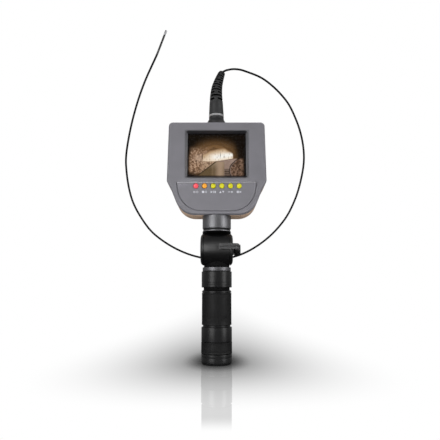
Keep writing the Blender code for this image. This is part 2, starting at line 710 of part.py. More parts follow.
def build_keypad():
    """The panel below the screen, its six buttons and what they press on."""
    panel = plate("keypad_panel", rounded(mirrored(PANEL_CORNERS)), HEAD_FRONT + 0.0001,
                  HEAD_FRONT + PANEL_DEPTH - GAP, GREY_SHELL, edge=0.0002)
    cut_button_holes(panel, "panel")
    face = HEAD_FRONT - 0.0012
    stem_end = HEAD_FRONT + 0.0034
    colours = [BUTTON_RED, BUTTON_ORANGE] + [BUTTON_YELLOW] * (BUTTON_COUNT - 2)
    for index, (x, colour) in enumerate(zip(button_places(), colours), start=1):
        profile = [(0, stem_end), (BUTTON_RADIUS, stem_end), (BUTTON_RADIUS, face + 0.0010),
                   (0.0026, face + 0.0003), (0.0016, face), (0, face)]
        button = turned(f"button_{index}", profile, colour, steps=16)
        along_y(button, x, BUTTON_Z)
    pad_front = stem_end + 0.0012
    box("keypad_rubber", (-0.0330, pad_front, 0.2062), (0.0350, pad_front + 0.0018, 0.2150), BLACK_RUBBER)
    board_front = pad_front + 0.0021
    box("keypad_board", (-0.0340, board_front, 0.1875), (0.0360, board_front + 0.0014, 0.2155), BOARD_GREEN)


def build_electronics():
    box("main_board", (-0.0385, -0.0058, 0.1930), (0.0385, -0.0042, 0.2760), BOARD_GREEN)
    box("video_chip", (-0.0075, -0.0039, 0.2330), (0.0075, -0.0024, 0.2480), BLACK_MATTE, edge=0.0003)
    box("ribbon_socket", (-0.0140, -0.0039, 0.2130), (0.0140, -0.0014, 0.2180), TAN_SHELL)


def build_neck():
    """The neck turns on the yoke's spindle and is clamped in the head by a nut inside it."""
    bore = SPINDLE_RADIUS + RUNNING_GAP
    shoulder = HEAD_BOTTOM - GAP
    spigot_top = NECK_BOTTOM + 0.0240
    profile = [(bore, spigot_top), (SPIGOT_RADIUS, spigot_top), (SPIGOT_RADIUS, shoulder),
               (NECK_RADIUS, shoulder), (NECK_RADIUS, NECK_BOTTOM + 0.0004),
               (NECK_RADIUS - 0.0004, NECK_BOTTOM), (bore, NECK_BOTTOM)]
    turned("neck_tube", profile, SATIN_METAL, closed=True)
    nut_bottom = HEAD_BOTTOM + WALL + GAP
    sleeve("neck_nut", (nut_bottom, nut_bottom + 0.0035), 0.0158, SPIGOT_RADIUS + GAP, SATIN_METAL)


# ---------------------------------------------------------------- probe
def build_probe_base():
    """The socket in the head's top, the knurled nut on it and the light ring above."""
    flange_top = HEAD_TOP - WALL - GAP
    flange_bottom = flange_top - 0.0017
    socket = [(0, HEAD_TOP + 0.0090), (SOCKET_RADIUS, HEAD_TOP + 0.0090), (SOCKET_RADIUS, flange_top),
              (0.0090, flange_top), (0.0090, flange_bottom), (SOCKET_RADIUS, flange_bottom),
              (SOCKET_RADIUS, flange_bottom - 0.0060), (0, flange_bottom - 0.0060)]
    place(turned("probe_socket", socket, SATIN_METAL, steps=24), None, (PROBE_X, 0, 0))
    bottom, top = PROBE_NUT_SPAN
    cavity_top = HEAD_TOP + 0.0094
    cavity = SOCKET_RADIUS + RUNNING_GAP
    nut = [(0, top), (PROBE_NUT_RADIUS - 0.0003, top), (PROBE_NUT_RADIUS, top - 0.0003),
           (PROBE_NUT_RADIUS, bottom + 0.0099), (PROBE_NUT_RADIUS + 0.0010, bottom + 0.0081),
           (NUT_FLARE_RADIUS, bottom + 0.0061), (NUT_FLARE_RADIUS, bottom), (cavity, bottom),
           (cavity, cavity_top), (0, cavity_top)]
    place(turned("probe_nut", nut, BLACK_MATTE), None, (PROBE_X, 0, 0))
    ring = disc("probe_ring", *PROBE_RING_SPAN, PROBE_NUT_RADIUS, SATIN_METAL, edge=0.0004)
    ring.location.x = PROBE_X


def build_strain_relief():
    path = smooth_path([point[:3] for point in BOOT_ROUTE], 2)
    radii = []
    for i in range(len(BOOT_ROUTE) - 1):
        radii += [BOOT_ROUTE[i][3], (BOOT_ROUTE[i][3] + BOOT_ROUTE[i + 1][3]) / 2]
    radii.append(BOOT_ROUTE[-1][3])
    rod("strain_relief", path, radii, BLACK_RUBBER, sides=4)


def build_probe():
    path = smooth_path(PROBE_ROUTE, 3)
    rod("probe_tube", path, [PROBE_RADIUS] * len(path), BLACK_MATTE)
    start = Vector(PROBE_ROUTE[-1])
    end = Vector(TIP_END)
    line = (end - start).normalized()
    length = (end - start).length
    tip = frame_at(start, line.to_track_quat("Z", "Y").to_euler())
    ring_top = 0.0018
    recess_floor = length - 0.0015
    ferrule_bottom = length - 0.0060
    pieces = [
        disc("tip_ring", GAP, ring_top, TIP_RING_RADIUS, SATIN_METAL, edge=0.0002, steps=16),
        disc("camera_body", ring_top + GAP, ferrule_bottom - GAP, TIP_RADIUS, BLACK_MATTE, edge=0.0002, steps=16),
        turned("tip_ferrule", [(0, recess_floor), (0.0009, recess_floor), (0.0009, length),
                               (TIP_RING_RADIUS - 0.0002, length), (TIP_RING_RADIUS, length - 0.0003),
                               (TIP_RING_RADIUS, ferrule_bottom), (0, ferrule_bottom)],
               SATIN_METAL, steps=16),
    ]
    lens = disc("tip_lens", recess_floor + GAP / 2, length - 0.0004, 0.0006, CLEAR, steps=12)
    for piece in pieces + [lens]:
        place(piece, tip)


# ---------------------------------------------------------------- assembly
def build_all():
    build_handle()
    build_tail()
    build_battery()
    tilt_axis = frame_at((0, 0, ELBOW_Z))
    build_elbow_barrel(tilt_axis)
    build_yoke(tilt_axis)
    build_pivot(tilt_axis)
    build_lever(tilt_axis)
    hollow, neck_hole = shell_cutters()
    build_front_shell(hollow, neck_hole)
    build_rear_shell(hollow, neck_hole)
    build_gasket()
    build_case_screws()
    build_screen()
    build_keypad()
    build_electronics()
    build_neck()
    build_probe_base()
    build_strain_relief()
    build_probe()


build_all()
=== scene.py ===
"""Looks of the inspection camera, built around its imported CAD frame.

Everything is in metres in the frame's own axes: +Z is up, the screen faces -Y and +X is to the
right of someone who looks at the screen.
"""

import math

import bmesh
import bpy
from mathutils import Matrix, Vector
from mathutils.geometry import interpolate_bezier


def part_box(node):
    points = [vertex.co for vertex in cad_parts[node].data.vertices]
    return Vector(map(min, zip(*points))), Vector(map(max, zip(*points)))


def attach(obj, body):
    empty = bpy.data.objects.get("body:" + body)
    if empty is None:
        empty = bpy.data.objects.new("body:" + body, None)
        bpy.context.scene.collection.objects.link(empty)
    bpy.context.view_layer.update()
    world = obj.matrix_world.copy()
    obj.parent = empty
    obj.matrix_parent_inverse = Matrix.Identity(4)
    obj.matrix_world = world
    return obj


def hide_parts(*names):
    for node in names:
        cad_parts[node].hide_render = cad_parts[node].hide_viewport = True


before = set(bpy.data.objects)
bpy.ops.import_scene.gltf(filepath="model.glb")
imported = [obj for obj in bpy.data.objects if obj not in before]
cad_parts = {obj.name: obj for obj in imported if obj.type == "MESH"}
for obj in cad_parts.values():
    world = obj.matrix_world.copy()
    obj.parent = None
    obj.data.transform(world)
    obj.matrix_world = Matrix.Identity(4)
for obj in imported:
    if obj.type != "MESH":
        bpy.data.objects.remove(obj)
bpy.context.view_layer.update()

# ---------------------------------------------------------------- driving dimensions
GAP = 0.0003                    # clearance between neighbouring pieces
FINE = 96                       # steps round a turned piece
SHARP_ANGLE = 32                # edges that turn by more degrees than this are shaded sharp
CORNER_STEPS = 10               # steps in each rounded corner of a flat piece's outline

CAMERA_PLACE = (0.0040, -0.6000, 0.0892)
CAMERA_PITCH = math.radians(97.87)
CAMERA_LENS = 40.25
SURROUND = 0.34                 # brightness of what the glossy pieces reflect at eye level
FLOOR_SHADOW_RADIUS = 0.21               # radius of the painted shadow on the floor round the handle's foot

TUBE_RADIUS = 0.0164
GROOVE_RADIUS = 0.0157          # of the groove below the collar
SHOULDER_TOP = 0.0870           # top of the cone between the grip and the groove above it
ELBOW_Z = 0.1356                # height of the tilt axis
ELBOW_RADIUS = 0.0213
ELBOW_CROWN = 0.0014            # the elbow is this much slimmer beside its rounded ends
ELBOW_HALF_WIDTH = 0.0195
ELBOW_EDGE = 0.0055             # rounding of the elbow's two ends
BARREL_HALF = 0.0157            # the fixed middle of the elbow
BOLT_BORE = 0.0043
SADDLE_TOP = 0.1571             # just below the pale plate above the elbow

HEAD_FRONT = -0.0210
HEAD_BACK = 0.0310
PARTING = -0.0072               # where the front and rear shells meet
WALL = 0.0024
SHELL_EDGE = 0.0028             # rounding of the shells' front and back edges
SCREW_TIP = -0.0150             # the case screws' front ends
# Right half of the head's outline, top to bottom: x, z and the corner's radius.
HEAD_CORNERS = (
    (0.0586, 0.2903, 0.0050),
    (0.0603, 0.2168, 0.0070),
    (0.0546, 0.2062, 0.0060),
    (0.0430, 0.1770, 0.0240),
)
# Right half of the keypad panel's outline.
PANEL_CORNERS = (
    (0.0480, 0.2157, 0.0008),
    (0.0462, 0.2035, 0.0100),
    (0.0400, 0.1806, 0.0290),
)
PANEL_DEPTH = 0.0017
PANEL_GROOVE = 0.0007           # width of the groove round the panel, except along its top edge
KEYPAD_SLOPE = 38.0             # degrees that the panel's top edge leans back
SCREEN_CENTRE_Z = 0.2501
SCREEN_OPENING = (0.0770, 0.0598)
SCREEN_PICTURE = (0.0713, 0.0535)
SCREEN_WINDOW = (0.0752, 0.0574)
SCREEN_RECESS = 0.0048
BUTTON_PITCH = 0.0104
BUTTON_ROW_X = 0.0010
BUTTON_Z = 0.2106
BUTTON_RADIUS = 0.0030
MARK_Z = 0.2032                 # the row of printed marks below the buttons
MARK_SIZE = 0.0026
MARK_DEPTH = 0.00006
MARKS_APART = 0.0034            # between the two signs of a pair

PROBE_X = -0.0006
SOCKET_RADIUS = 0.0051
SPIGOT_HOLE = (0.170, 0.183, 0.0133)    # bottom, top and radius of the hole for the neck's spigot
PROBE_RADIUS = 0.0013
TIP_RADIUS = 0.0013
TIP_RING_RADIUS = 0.0014

# Route of the strain relief: x, y, z and its radius there.
BOOT_ROUTE = (
    (-0.0006, 0.0000, 0.3062, 0.0093),
    (-0.0008, 0.0000, 0.3200, 0.0086),
    (-0.0008, 0.0008, 0.3330, 0.0077),
    (0.0001, 0.0024, 0.3435, 0.0069),
    (0.0024, 0.0042, 0.3535, 0.0058),
    (0.0053, 0.0060, 0.3625, 0.0048),
    (0.0072, 0.0070, 0.3670, 0.0040),
)
# Route of the probe, from the strain relief's end round behind the elbow to the camera head.
PROBE_ROUTE = (
    (0.0081, 0.0074, 0.3678),
    (0.0130, 0.0082, 0.3704),
    (0.0230, 0.0095, 0.3724),
    (0.0350, 0.0120, 0.3714),
    (0.0632, 0.0180, 0.3612),
    (0.0910, 0.0240, 0.3360),
    (0.1050, 0.0280, 0.3098),
    (0.1130, 0.0320, 0.2837),
    (0.1150, 0.0340, 0.2570),
    (0.1109, 0.0370, 0.2306),
    (0.1026, 0.0390, 0.2041),
    (0.0885, 0.0410, 0.1778),
    (0.0634, 0.0430, 0.1516),
    (0.0305, 0.0450, 0.1324),
    (-0.0035, 0.0450, 0.1266),
    (-0.0428, 0.0440, 0.1352),
    (-0.0809, 0.0420, 0.1581),
    (-0.1015, 0.0380, 0.1840),
    (-0.1131, 0.0340, 0.2099),
    (-0.1190, 0.0280, 0.2487),
    (-0.1170, 0.0240, 0.2745),
    (-0.1086, 0.0180, 0.3131),
    (-0.0959, 0.0120, 0.3517),
    (-0.0779, 0.0060, 0.3915),
)
TIP_END = (-0.0660, 0.0010, 0.4214)

SLOT_ROWS = 12                  # rows of slots in the strain relief
SLOTS_FROM, SLOTS_TO = 0.220, 0.930     # the shares of its length that they start and end at


# ---------------------------------------------------------------- mesh helpers
def new_object(name, shape, material=None, sharp=SHARP_ANGLE):
    """A mesh object from a bmesh, smooth except along edges sharper than an angle in degrees."""
    bmesh.ops.remove_doubles(shape, verts=shape.verts, dist=1e-7)
    bmesh.ops.recalc_face_normals(shape, faces=shape.faces)
    mesh = bpy.data.meshes.new(name)
    shape.to_mesh(mesh)
    shape.free()
    item = bpy.data.objects.new(name, mesh)
    bpy.context.scene.collection.objects.link(item)
    mesh.shade_smooth()
    mesh.set_sharp_from_angle(angle=math.radians(sharp))
    if material is not None:
        mesh.materials.append(material)
    return item


def connect(shape, first, second):
    """Faces between two rings of vertices; a ring of one vertex is a pole."""
    count = max(len(first), len(second))
    for i in range(count):
        corners = [first[i % len(first)], first[(i + 1) % len(first)],
                   second[(i + 1) % len(second)], second[i % len(second)]]
        corners = list(dict.fromkeys(corners))
        if len(corners) > 2:
            shape.faces.new(corners)


def skin(rings, capped=True, closed=False):
    """A bmesh through rings of points, with its two ends filled, or the last joined to the first."""
    shape = bmesh.new()
    made = [[shape.verts.new(point) for point in ring] for ring in rings]
    for first, second in zip(made, made[1:]):
        connect(shape, first, second)
    if closed:
        connect(shape, made[-1], made[0])
    elif capped:
        for ring in (made[0], made[-1]):
            if len(ring) > 2:
                shape.faces.new(ring)
    return shape


def lathe(name, profile, material=None, steps=FINE, closed=True, relief=None):
    """A profile of (radius, height) turned about Z. Relief gives an outward move at (angle, height)."""
    rings = []
    for radius, height in profile:
        if radius < 1e-7:
            rings.append([(0.0, 0.0, height)])
            continue
        ring = []
        for step in range(steps):
            angle = 2 * math.pi * step / steps
            out = radius + (relief(angle, height) if relief else 0.0)
            ring.append((out * math.cos(angle), out * math.sin(angle), height))
        rings.append(ring)
    return new_object(name, skin(rings, capped=False, closed=closed), material)


def rounded(corners, steps=8):
    """An outline through (x, z, radius) corners, each rounded with an arc."""
    points = []
    count = len(corners)
    for i, (x, z, radius) in enumerate(corners):
        corner = Vector((x, z))
        before = (Vector(corners[i - 1][:2]) - corner).normalized()
        after = (Vector(corners[(i + 1) % count][:2]) - corner).normalized()
        half = before.angle(after) / 2
        if radius < 1e-6 or half > math.pi / 2 - 1e-3:
            points.append(corner)
            continue
        centre = corner + (before + after).normalized() * (radius / math.sin(half))
        start = corner + before * (radius / math.tan(half)) - centre
        end = corner + after * (radius / math.tan(half)) - centre
        turn = start.angle_signed(end)
        for step in range(steps + 1):
            points.append(centre + Matrix.Rotation(-turn * step / steps, 2) @ start)
    return points


def arcs(corners, steps=5):
    """A profile for lathe() through (radius, height, rounding) corners."""
    return [(point.x, point.y) for point in rounded(corners, steps)]


def mirrored(corners):
    """Both halves of an outline that is symmetric about x = 0."""
    return list(corners) + [(-x, z, radius) for x, z, radius in reversed(corners)]


def inset(corners, distance):
    """The outline's corners moved inwards by a distance; a negative one moves them outwards."""
    result = []
    count = len(corners)
    for i, (x, z, radius) in enumerate(corners):
        corner = Vector((x, z))
        into = (corner - Vector(corners[i - 1][:2])).normalized()
        out = (Vector(corners[(i + 1) % count][:2]) - corner).normalized()
        normal_in = Vector((into.y, -into.x))
        normal_out = Vector((out.y, -out.x))
        bisector = (normal_in + normal_out).normalized()
        moved = corner + bisector * (distance / bisector.dot(normal_in))
        convex = into.x * out.y - into.y * out.x < 0
        new_radius = max(radius - distance, 0.0002) if convex else radius + distance
        result.append((moved.x, moved.y, new_radius))
    return result


def rectangle(width, height, centre_z, radius):
    """Corners of an upright rectangle about x = 0, clockwise from the top right."""
    side, top, bottom = width / 2, centre_z + height / 2, centre_z - height / 2
    return [(side, top, radius), (side, bottom, radius), (-side, bottom, radius), (-side, top, radius)]


def rounded_edges(front, back, front_edge=0.0, back_edge=0.0, steps=6):
    """Depths and insets of a slab's side, from front to back, with its edges rounded."""
    profile = []
    for step in range(steps + 1 if front_edge else 1):
        turn = math.pi / 2 * step / steps
        profile.append((front + front_edge * (1 - math.cos(turn)), front_edge * (1 - math.sin(turn))))
    for step in reversed(range(steps + 1 if back_edge else 1)):
        turn = math.pi / 2 * step / steps
        profile.append((back - back_edge * (1 - math.cos(turn)), back_edge * (1 - math.sin(turn))))
    return profile


def slab(name, corners, profile, material=None):
    """An outline in X and Z lofted through (depth, inset) steps along Y."""
    rings = []
    for depth, gap in profile:
        rings.append([(point.x, depth, point.y) for point in rounded(inset(corners, gap), CORNER_STEPS)])
    return new_object(name, skin(rings), material)


def lipped_cutter(corners, surface, floor, lip):
    """A cutter for a hole in a front face, which leaves the hole's rim rounded."""
    above = surface - 0.002
    sides = [(depth, -gap) for depth, gap in rounded_edges(surface, floor, lip, steps=4)]
    return slab("cutter", corners, [(above, -lip)] + sides)


def block(name, low, high, edge=0.0):
    """A box between two corners, with rounded edges."""
    shape = bmesh.new()
    size = Vector(high) - Vector(low)
    centre = (Vector(high) + Vector(low)) / 2
    place = Matrix.Translation(centre) @ Matrix.Diagonal((*size, 1.0))
    bmesh.ops.create_cube(shape, size=1.0, matrix=place)
    if edge:
        bmesh.ops.bevel(shape, geom=shape.edges[:], offset=edge, segments=3, profile=0.5, affect="EDGES")
    return new_object(name, shape)


def combine(item, other, operation="DIFFERENCE"):
    """Cut from an item, or join to it, another solid, which is then removed."""
    modifier = item.modifiers.new("combine", "BOOLEAN")
    modifier.operation = operation
    modifier.solver = "EXACT"
    modifier.object = other
    bpy.context.view_layer.update()
    evaluated = item.evaluated_get(bpy.context.evaluated_depsgraph_get())
    mesh = bpy.data.meshes.new_from_object(evaluated)
    item.modifiers.remove(modifier)
    item.data = mesh
    bpy.data.objects.remove(other, do_unlink=True)
    return item


def settle(item, material):
    """Give an item its material after its cuts, and its shading: flat faces flat, and rounded ones smooth."""
    mesh = item.data
    mesh.materials.clear()
    mesh.materials.append(material)
    mesh.shade_smooth()
    mesh.set_sharp_from_angle(angle=math.radians(SHARP_ANGLE))
    weighted = item.modifiers.new("normals", "WEIGHTED_NORMAL")
    weighted.keep_sharp = True
    return item


def turn_to(item, matrix):
    """Move an item's mesh, so that the object itself stays at the origin."""
    item.data.transform(matrix)
    return item


def along_x(item, side=1):
    """Turn a piece made along Z onto the tilt axis, so that its own +Z points to +X, or to -X for side -1."""
    return turn_to(item, Matrix.Translation((0, 0, ELBOW_Z)) @ Matrix.Rotation(side * math.pi / 2, 4, "Y"))


def along_y(item, x, z):
    """Turn a piece made along Z so that its own +Z points to +Y, with its axis at x, z."""
    return turn_to(item, Matrix.Translation((x, 0, z)) @ Matrix.Rotation(-math.pi / 2, 4, "X"))


def smooth_path(points, per_span):
    """A smooth curve through the points, as a list of evenly numbered points."""
    places = [Vector(point) for point in points]
    path = []
    for i in range(len(places) - 1):
        start, end = places[i], places[i + 1]
        before = places[max(i - 1, 0)]
        after = places[min(i + 2, len(places) - 1)]
        handle = (end - start).length / 3
        leave = start + (end - before).normalized() * handle
        arrive = end - (after - start).normalized() * handle
        path += interpolate_bezier(start, leave, arrive, end, per_span + 1)[:-1]
    path.append(places[-1])
    return path


def frames_along(path):
    """For each point of a path, the point and two directions across it that don't twist."""
    result = []
    side = Vector((1, 0, 0))
    for i, point in enumerate(path):
        ahead = (path[min(i + 1, len(path) - 1)] - path[max(i - 1, 0)]).normalized()
        side = (side - ahead * side.dot(ahead)).normalized()
        result.append((point, side, ahead.cross(side)))
    return result


def show(item, body, *nodes, slot=None):
    """A finished piece: it rides on a body and stands for CAD nodes, which it hides."""
    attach(item, body)
    if nodes:
        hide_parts(*nodes)
    return item


# ---------------------------------------------------------------- material helpers
class Paint:
    """One material's node tree, built a step at a time."""

    def __init__(self, name):
        self.material = bpy.data.materials.new(name)
        self.material.use_nodes = True
        self.tree = self.material.node_tree
        self.shader = self.tree.nodes["Principled BSDF"]
        self.place = self.add("ShaderNodeTexCoord").outputs["Object"]

    def add(self, kind, settings=None, inputs=None):
        """A new node; its inputs may be values or other nodes' sockets."""
        node = self.tree.nodes.new(kind)
        for name, value in (settings or {}).items():
            setattr(node, name, value)
        for name, value in (inputs or {}).items():
            self.feed(node.inputs[name], value)
        return node

    def feed(self, socket, value):
        if isinstance(value, bpy.types.NodeSocket):
            self.tree.links.new(value, socket)
        elif isinstance(value, tuple) and len(value) == 3 and socket.type == "RGBA":
            socket.default_value = (*value, 1.0)
        else:
            socket.default_value = value

    def set(self, name, value):
        """One of the shader's inputs."""
        self.feed(self.shader.inputs[name], value)

    def noise(self, scale, detail=3.0, stretch=None):
        place = self.place
        if stretch:
            mapping = self.add("ShaderNodeMapping", None, {"Vector": place, "Scale": stretch})
            place = mapping.outputs["Vector"]
        node = self.add("ShaderNodeTexNoise", None, {"Vector": place, "Scale": scale, "Detail": detail})
        return node.outputs["Fac"]

    def ramp(self, value, low, high, to_low=0.0, to_high=1.0):
        """The value moved from one range to another, and held inside it."""
        node = self.add("ShaderNodeMapRange", {"interpolation_type": "SMOOTHSTEP"}, {
            "Value": value, "From Min": low, "From Max": high, "To Min": to_low, "To Max": to_high})
        return node.outputs["Result"]

    def math(self, operation, first, second=0.0):
        node = self.add("ShaderNodeMath", {"operation": operation})
        self.feed(node.inputs[0], first)
        self.feed(node.inputs[1], second)
        return node.outputs["Value"]

    def mix(self, first, second, share):
        """Two colours mixed by a share of the second."""
        node = self.add("ShaderNodeMix", {"data_type": "RGBA"})
        self.feed(node.inputs["Factor"], share)
        self.feed(node.inputs[6], first)
        self.feed(node.inputs[7], second)
        return node.outputs[2]

    def bump(self, height, depth):
        """Relief from a height of 0 to 1 that stands for a depth in metres."""
        node = self.add("ShaderNodeBump", None, {"Height": height, "Distance": depth, "Strength": 1.0})
        self.set("Normal", node.outputs["Normal"])

    def worn_edges(self):
        """1 along the shape's outer edges, broken up by noise, and 0 elsewhere."""
        pointed = self.add("ShaderNodeNewGeometry").outputs["Pointiness"]
        edge = self.ramp(pointed, 0.515, 0.60)
        return self.math("MULTIPLY", edge, self.ramp(self.noise(900.0, 4.0), 0.40, 0.62))


def tint(colour, factor):
    return tuple(channel * factor for channel in colour)


def moulded(name, colour, roughness, grain=2600.0, depth=0.000012, wear=0.35, tone=0.10):
    """Moulded plastic or rubber: a fine grain, slightly uneven colour and gloss, paler edges."""
    paint = Paint(name)
    uneven = paint.ramp(paint.noise(45.0, 4.0), 0.30, 0.70)
    flow = paint.mix(tint(colour, 1 - tone), tint(colour, 1 + tone), uneven)
    edge = paint.math("MULTIPLY", paint.worn_edges(), wear)
    paint.set("Base Color", paint.mix(flow, tint(colour, 2.2), edge))
    smudge = paint.ramp(paint.noise(120.0, 5.0), 0.35, 0.70, roughness - 0.05, roughness + 0.07)
    paint.set("Roughness", smudge)
    paint.bump(paint.noise(grain, 2.0), depth)
    return paint


def turned_metal(name, colour, roughness, axis="Z", metallic=1.0, line=0.000004, wear=0.4):
    """Turned metal: fine tool lines round an axis, with uneven gloss and bright edges."""
    paint = Paint(name)
    stretch = {"X": (6000.0, 40.0, 40.0), "Z": (40.0, 40.0, 6000.0)}[axis]
    lines = paint.noise(1.0, 3.0, stretch)
    cloud = paint.ramp(paint.noise(70.0, 4.0), 0.30, 0.70)
    body = paint.mix(tint(colour, 0.90), tint(colour, 1.10), cloud)
    scored = paint.mix(body, tint(colour, 0.72), paint.ramp(lines, 0.52, 0.80, 0.0, 0.6))
    edge = paint.math("MULTIPLY", paint.worn_edges(), wear)
    paint.set("Base Color", paint.mix(scored, tint(colour, 1.9), edge))
    paint.set("Metallic", metallic)
    paint.set("Roughness", paint.ramp(lines, 0.35, 0.65, roughness - 0.04, roughness + 0.05))
    paint.bump(lines, line)
    return paint


# ---------------------------------------------------------------- materials
def grey_plastic():
    return moulded("grey_plastic", (0.182, 0.178, 0.198), 0.52, tone=0.05).material


def painted_highlight_grey():
    """The polished slope along the keypad panel's top edge, painted far paler than the grey as a painted
    highlight.
    """
    return moulded("painted_highlight_grey", (0.62, 0.615, 0.64), 0.40, depth=0.000004, tone=0.05).material


def bezel_plastic():
    """Grey side walls, with painted shade on the walls above and below the picture, darker the more they face
    up or down.
    """
    paint = moulded("bezel_plastic", (0.150, 0.150, 0.162), 0.38, depth=0.000006)
    sides = paint.shader.inputs["Base Color"].links[0].from_socket
    # Painted shade, set by how much each wall faces up or down.
    normal = paint.add("ShaderNodeNewGeometry").outputs["Normal"]
    upright = paint.add("ShaderNodeSeparateXYZ", None, {"Vector": normal}).outputs["Z"]
    level = paint.ramp(paint.math("ABSOLUTE", upright), 0.45, 0.70)
    paint.set("Base Color", paint.mix(sides, (0.022, 0.022, 0.025), level))
    return paint.material


def tan_plastic():
    return moulded("tan_plastic", (0.60, 0.42, 0.30), 0.55).material


def black_plastic():
    colour = (0.0010, 0.0010, 0.0011)
    paint = moulded("black_plastic", colour, 0.42, grain=3400.0, depth=0.000008, wear=0.9)
    paint.set("Specular IOR Level", 1.0)
    return paint.material


def elbow_black():
    """Glossy black that was turned about X, so that its highlights spread along X."""
    colour = (0.0010, 0.0010, 0.0011)
    paint = turned_metal("elbow_black", colour, 0.46, "X", metallic=0.0, line=0.000001, wear=0.9)
    paint.set("Specular IOR Level", 1.0)
    paint.set("Anisotropic", 0.65)
    paint.set("Anisotropic Rotation", 0.25)
    tangent = paint.add("ShaderNodeTangent", {"direction_type": "RADIAL", "axis": "X"})
    paint.set("Tangent", tangent.outputs["Tangent"])
    return paint.material


def lever_plastic():
    colour = (0.060, 0.060, 0.061)
    return moulded("lever_plastic", colour, 0.36, grain=3000.0, depth=0.000008, wear=0.6).material


def inner_plastic():
    return moulded("inner_plastic", (0.020, 0.020, 0.021), 0.60).material


def socket_plastic():
    return moulded("socket_plastic", (0.60, 0.50, 0.38), 0.55).material


def boot_rubber():
    colour = (0.026, 0.026, 0.027)
    return moulded("boot_rubber", colour, 0.50, grain=2200.0, depth=0.000018, wear=0.8).material


def seal_rubber():
    colour = (0.014, 0.014, 0.015)
    return moulded("seal_rubber", colour, 0.62, grain=2600.0, depth=0.000015, wear=0.3).material


def black_anodised():
    colour = (0.0040, 0.0040, 0.0043)
    paint = turned_metal("black_anodised", colour, 0.34, metallic=0.0, line=0.000002, wear=0.5)
    paint.set("Specular IOR Level", 0.36)
    return paint.material


def knurled_black():
    paint = moulded("knurled_black", (0.0040, 0.0040, 0.0042), 0.52, grain=4200.0, depth=0.000010, wear=0.7)
    paint.set("Specular IOR Level", 0.22)
    return paint.material


def ring_plastic():
    return moulded("ring_plastic", (0.36, 0.36, 0.365), 0.50, depth=0.000006).material


def nut_plastic():
    colour = (0.018, 0.018, 0.019)
    return moulded("nut_plastic", colour, 0.46, grain=3000.0, depth=0.000010, wear=0.8).material


def painted_shade_black():
    """A dull black laid as painted shade on the hollows: the elbow's, the strain relief's and the groove
    above the grip.
    """
    paint = moulded("painted_shade_black", (0.0030, 0.0030, 0.0032), 0.70, grain=3000.0, depth=0.000010, wear=0.2)
    paint.set("Specular IOR Level", 0.08)
    return paint.material


def satin_metal(axis="Z"):
    return turned_metal("satin_metal_" + axis.lower(), (0.235, 0.235, 0.246), 0.48, axis).material


def bright_metal():
    return turned_metal("bright_metal", (0.33, 0.33, 0.345), 0.50).material


def ring_metal():
    return turned_metal("ring_metal", (0.175, 0.175, 0.184), 0.48).material


def dark_metal(axis="Z"):
    return turned_metal("dark_metal_" + axis.lower(), (0.13, 0.13, 0.14), 0.34, axis).material


def steel():
    return turned_metal("steel", (0.50, 0.50, 0.52), 0.28).material


def brass():
    return turned_metal("brass", (0.70, 0.48, 0.20), 0.30).material


def cell_wrap():
    return moulded("cell_wrap", (0.04, 0.11, 0.30), 0.32, grain=1800.0, depth=0.000008).material


def button_plastic(name, colour):
    """A translucent key cap: deeper in colour towards its rim, and glossy."""
    paint = moulded(name, colour, 0.30, grain=3000.0, depth=0.000004, wear=0.0, tone=0.05)
    paint.set("Subsurface Weight", 0.15)
    paint.set("Subsurface Radius", (0.0015, 0.0010, 0.0006))
    paint.set("Subsurface Scale", 0.5)
    return paint.material


def mark_ink():
    colour = (0.62, 0.63, 0.68)
    return moulded("mark_ink", colour, 0.50, grain=4200.0, depth=0.000008, wear=0.0, tone=0.14).material


def board_green():
    """A circuit board: green lacquer over raised copper tracks, with tinned pads."""
    paint = Paint("board_green")
    cells = paint.add("ShaderNodeTexVoronoi", {"distance": "MANHATTAN"}, {
        "Vector": paint.place, "Scale": 420.0})
    tracks = paint.ramp(cells.outputs["Distance"], 0.30, 0.36)
    pads = paint.ramp(cells.outputs["Distance"], 0.10, 0.07)
    lacquer = paint.mix((0.010, 0.090, 0.030), (0.025, 0.190, 0.070), tracks)
    paint.set("Base Color", paint.mix(lacquer, (0.62, 0.62, 0.60), pads))
    paint.set("Metallic", pads)
    paint.set("Roughness", paint.ramp(paint.noise(300.0), 0.3, 0.7, 0.28, 0.42))
    paint.bump(tracks, 0.00002)
    return paint.material


def probe_sheath():
    """The probe's black sheath, whose closely wound core shows through as fine turns."""
    paint = Paint("probe_sheath")
    along = paint.add("ShaderNodeSeparateXYZ", None, {
        "Vector": paint.add("ShaderNodeTexCoord").outputs["UV"]}).outputs["X"]
    turns = paint.math("PINGPONG", paint.math("MULTIPLY", along, 900.0), 0.5)
    worn = paint.ramp(paint.noise(500.0, 4.0), 0.45, 0.75)
    paint.set("Base Color", paint.mix((0.010, 0.010, 0.011), (0.014, 0.014, 0.015), worn))
    paint.set("Specular IOR Level", 0.10)
    paint.set("Roughness", paint.ramp(paint.noise(260.0), 0.3, 0.7, 0.55, 0.66))
    paint.bump(turns, 0.00002)
    return paint.material


def clear_glass():
    """Thin clear plastic: mostly see-through, with the weak gloss of a coated surface."""
    paint = Paint("clear_glass")
    through = paint.add("ShaderNodeBsdfTransparent", None, {"Color": (0.96, 0.97, 0.98)})
    haze = paint.ramp(paint.noise(200.0, 4.0), 0.4, 0.8, 0.03, 0.08)
    gloss = paint.add("ShaderNodeBsdfGlossy", None, {"Color": (1.0, 1.0, 1.0), "Roughness": haze})
    share = paint.math("MULTIPLY", paint.add("ShaderNodeFresnel", None, {"IOR": 1.45}).outputs["Fac"], 0.08)
    both = paint.add("ShaderNodeMixShader")
    paint.feed(both.inputs[0], share)
    paint.feed(both.inputs[1], through.outputs[0])
    paint.feed(both.inputs[2], gloss.outputs[0])
    output = paint.tree.nodes["Material Output"]
    paint.tree.links.new(both.outputs[0], output.inputs["Surface"])
    return paint.material


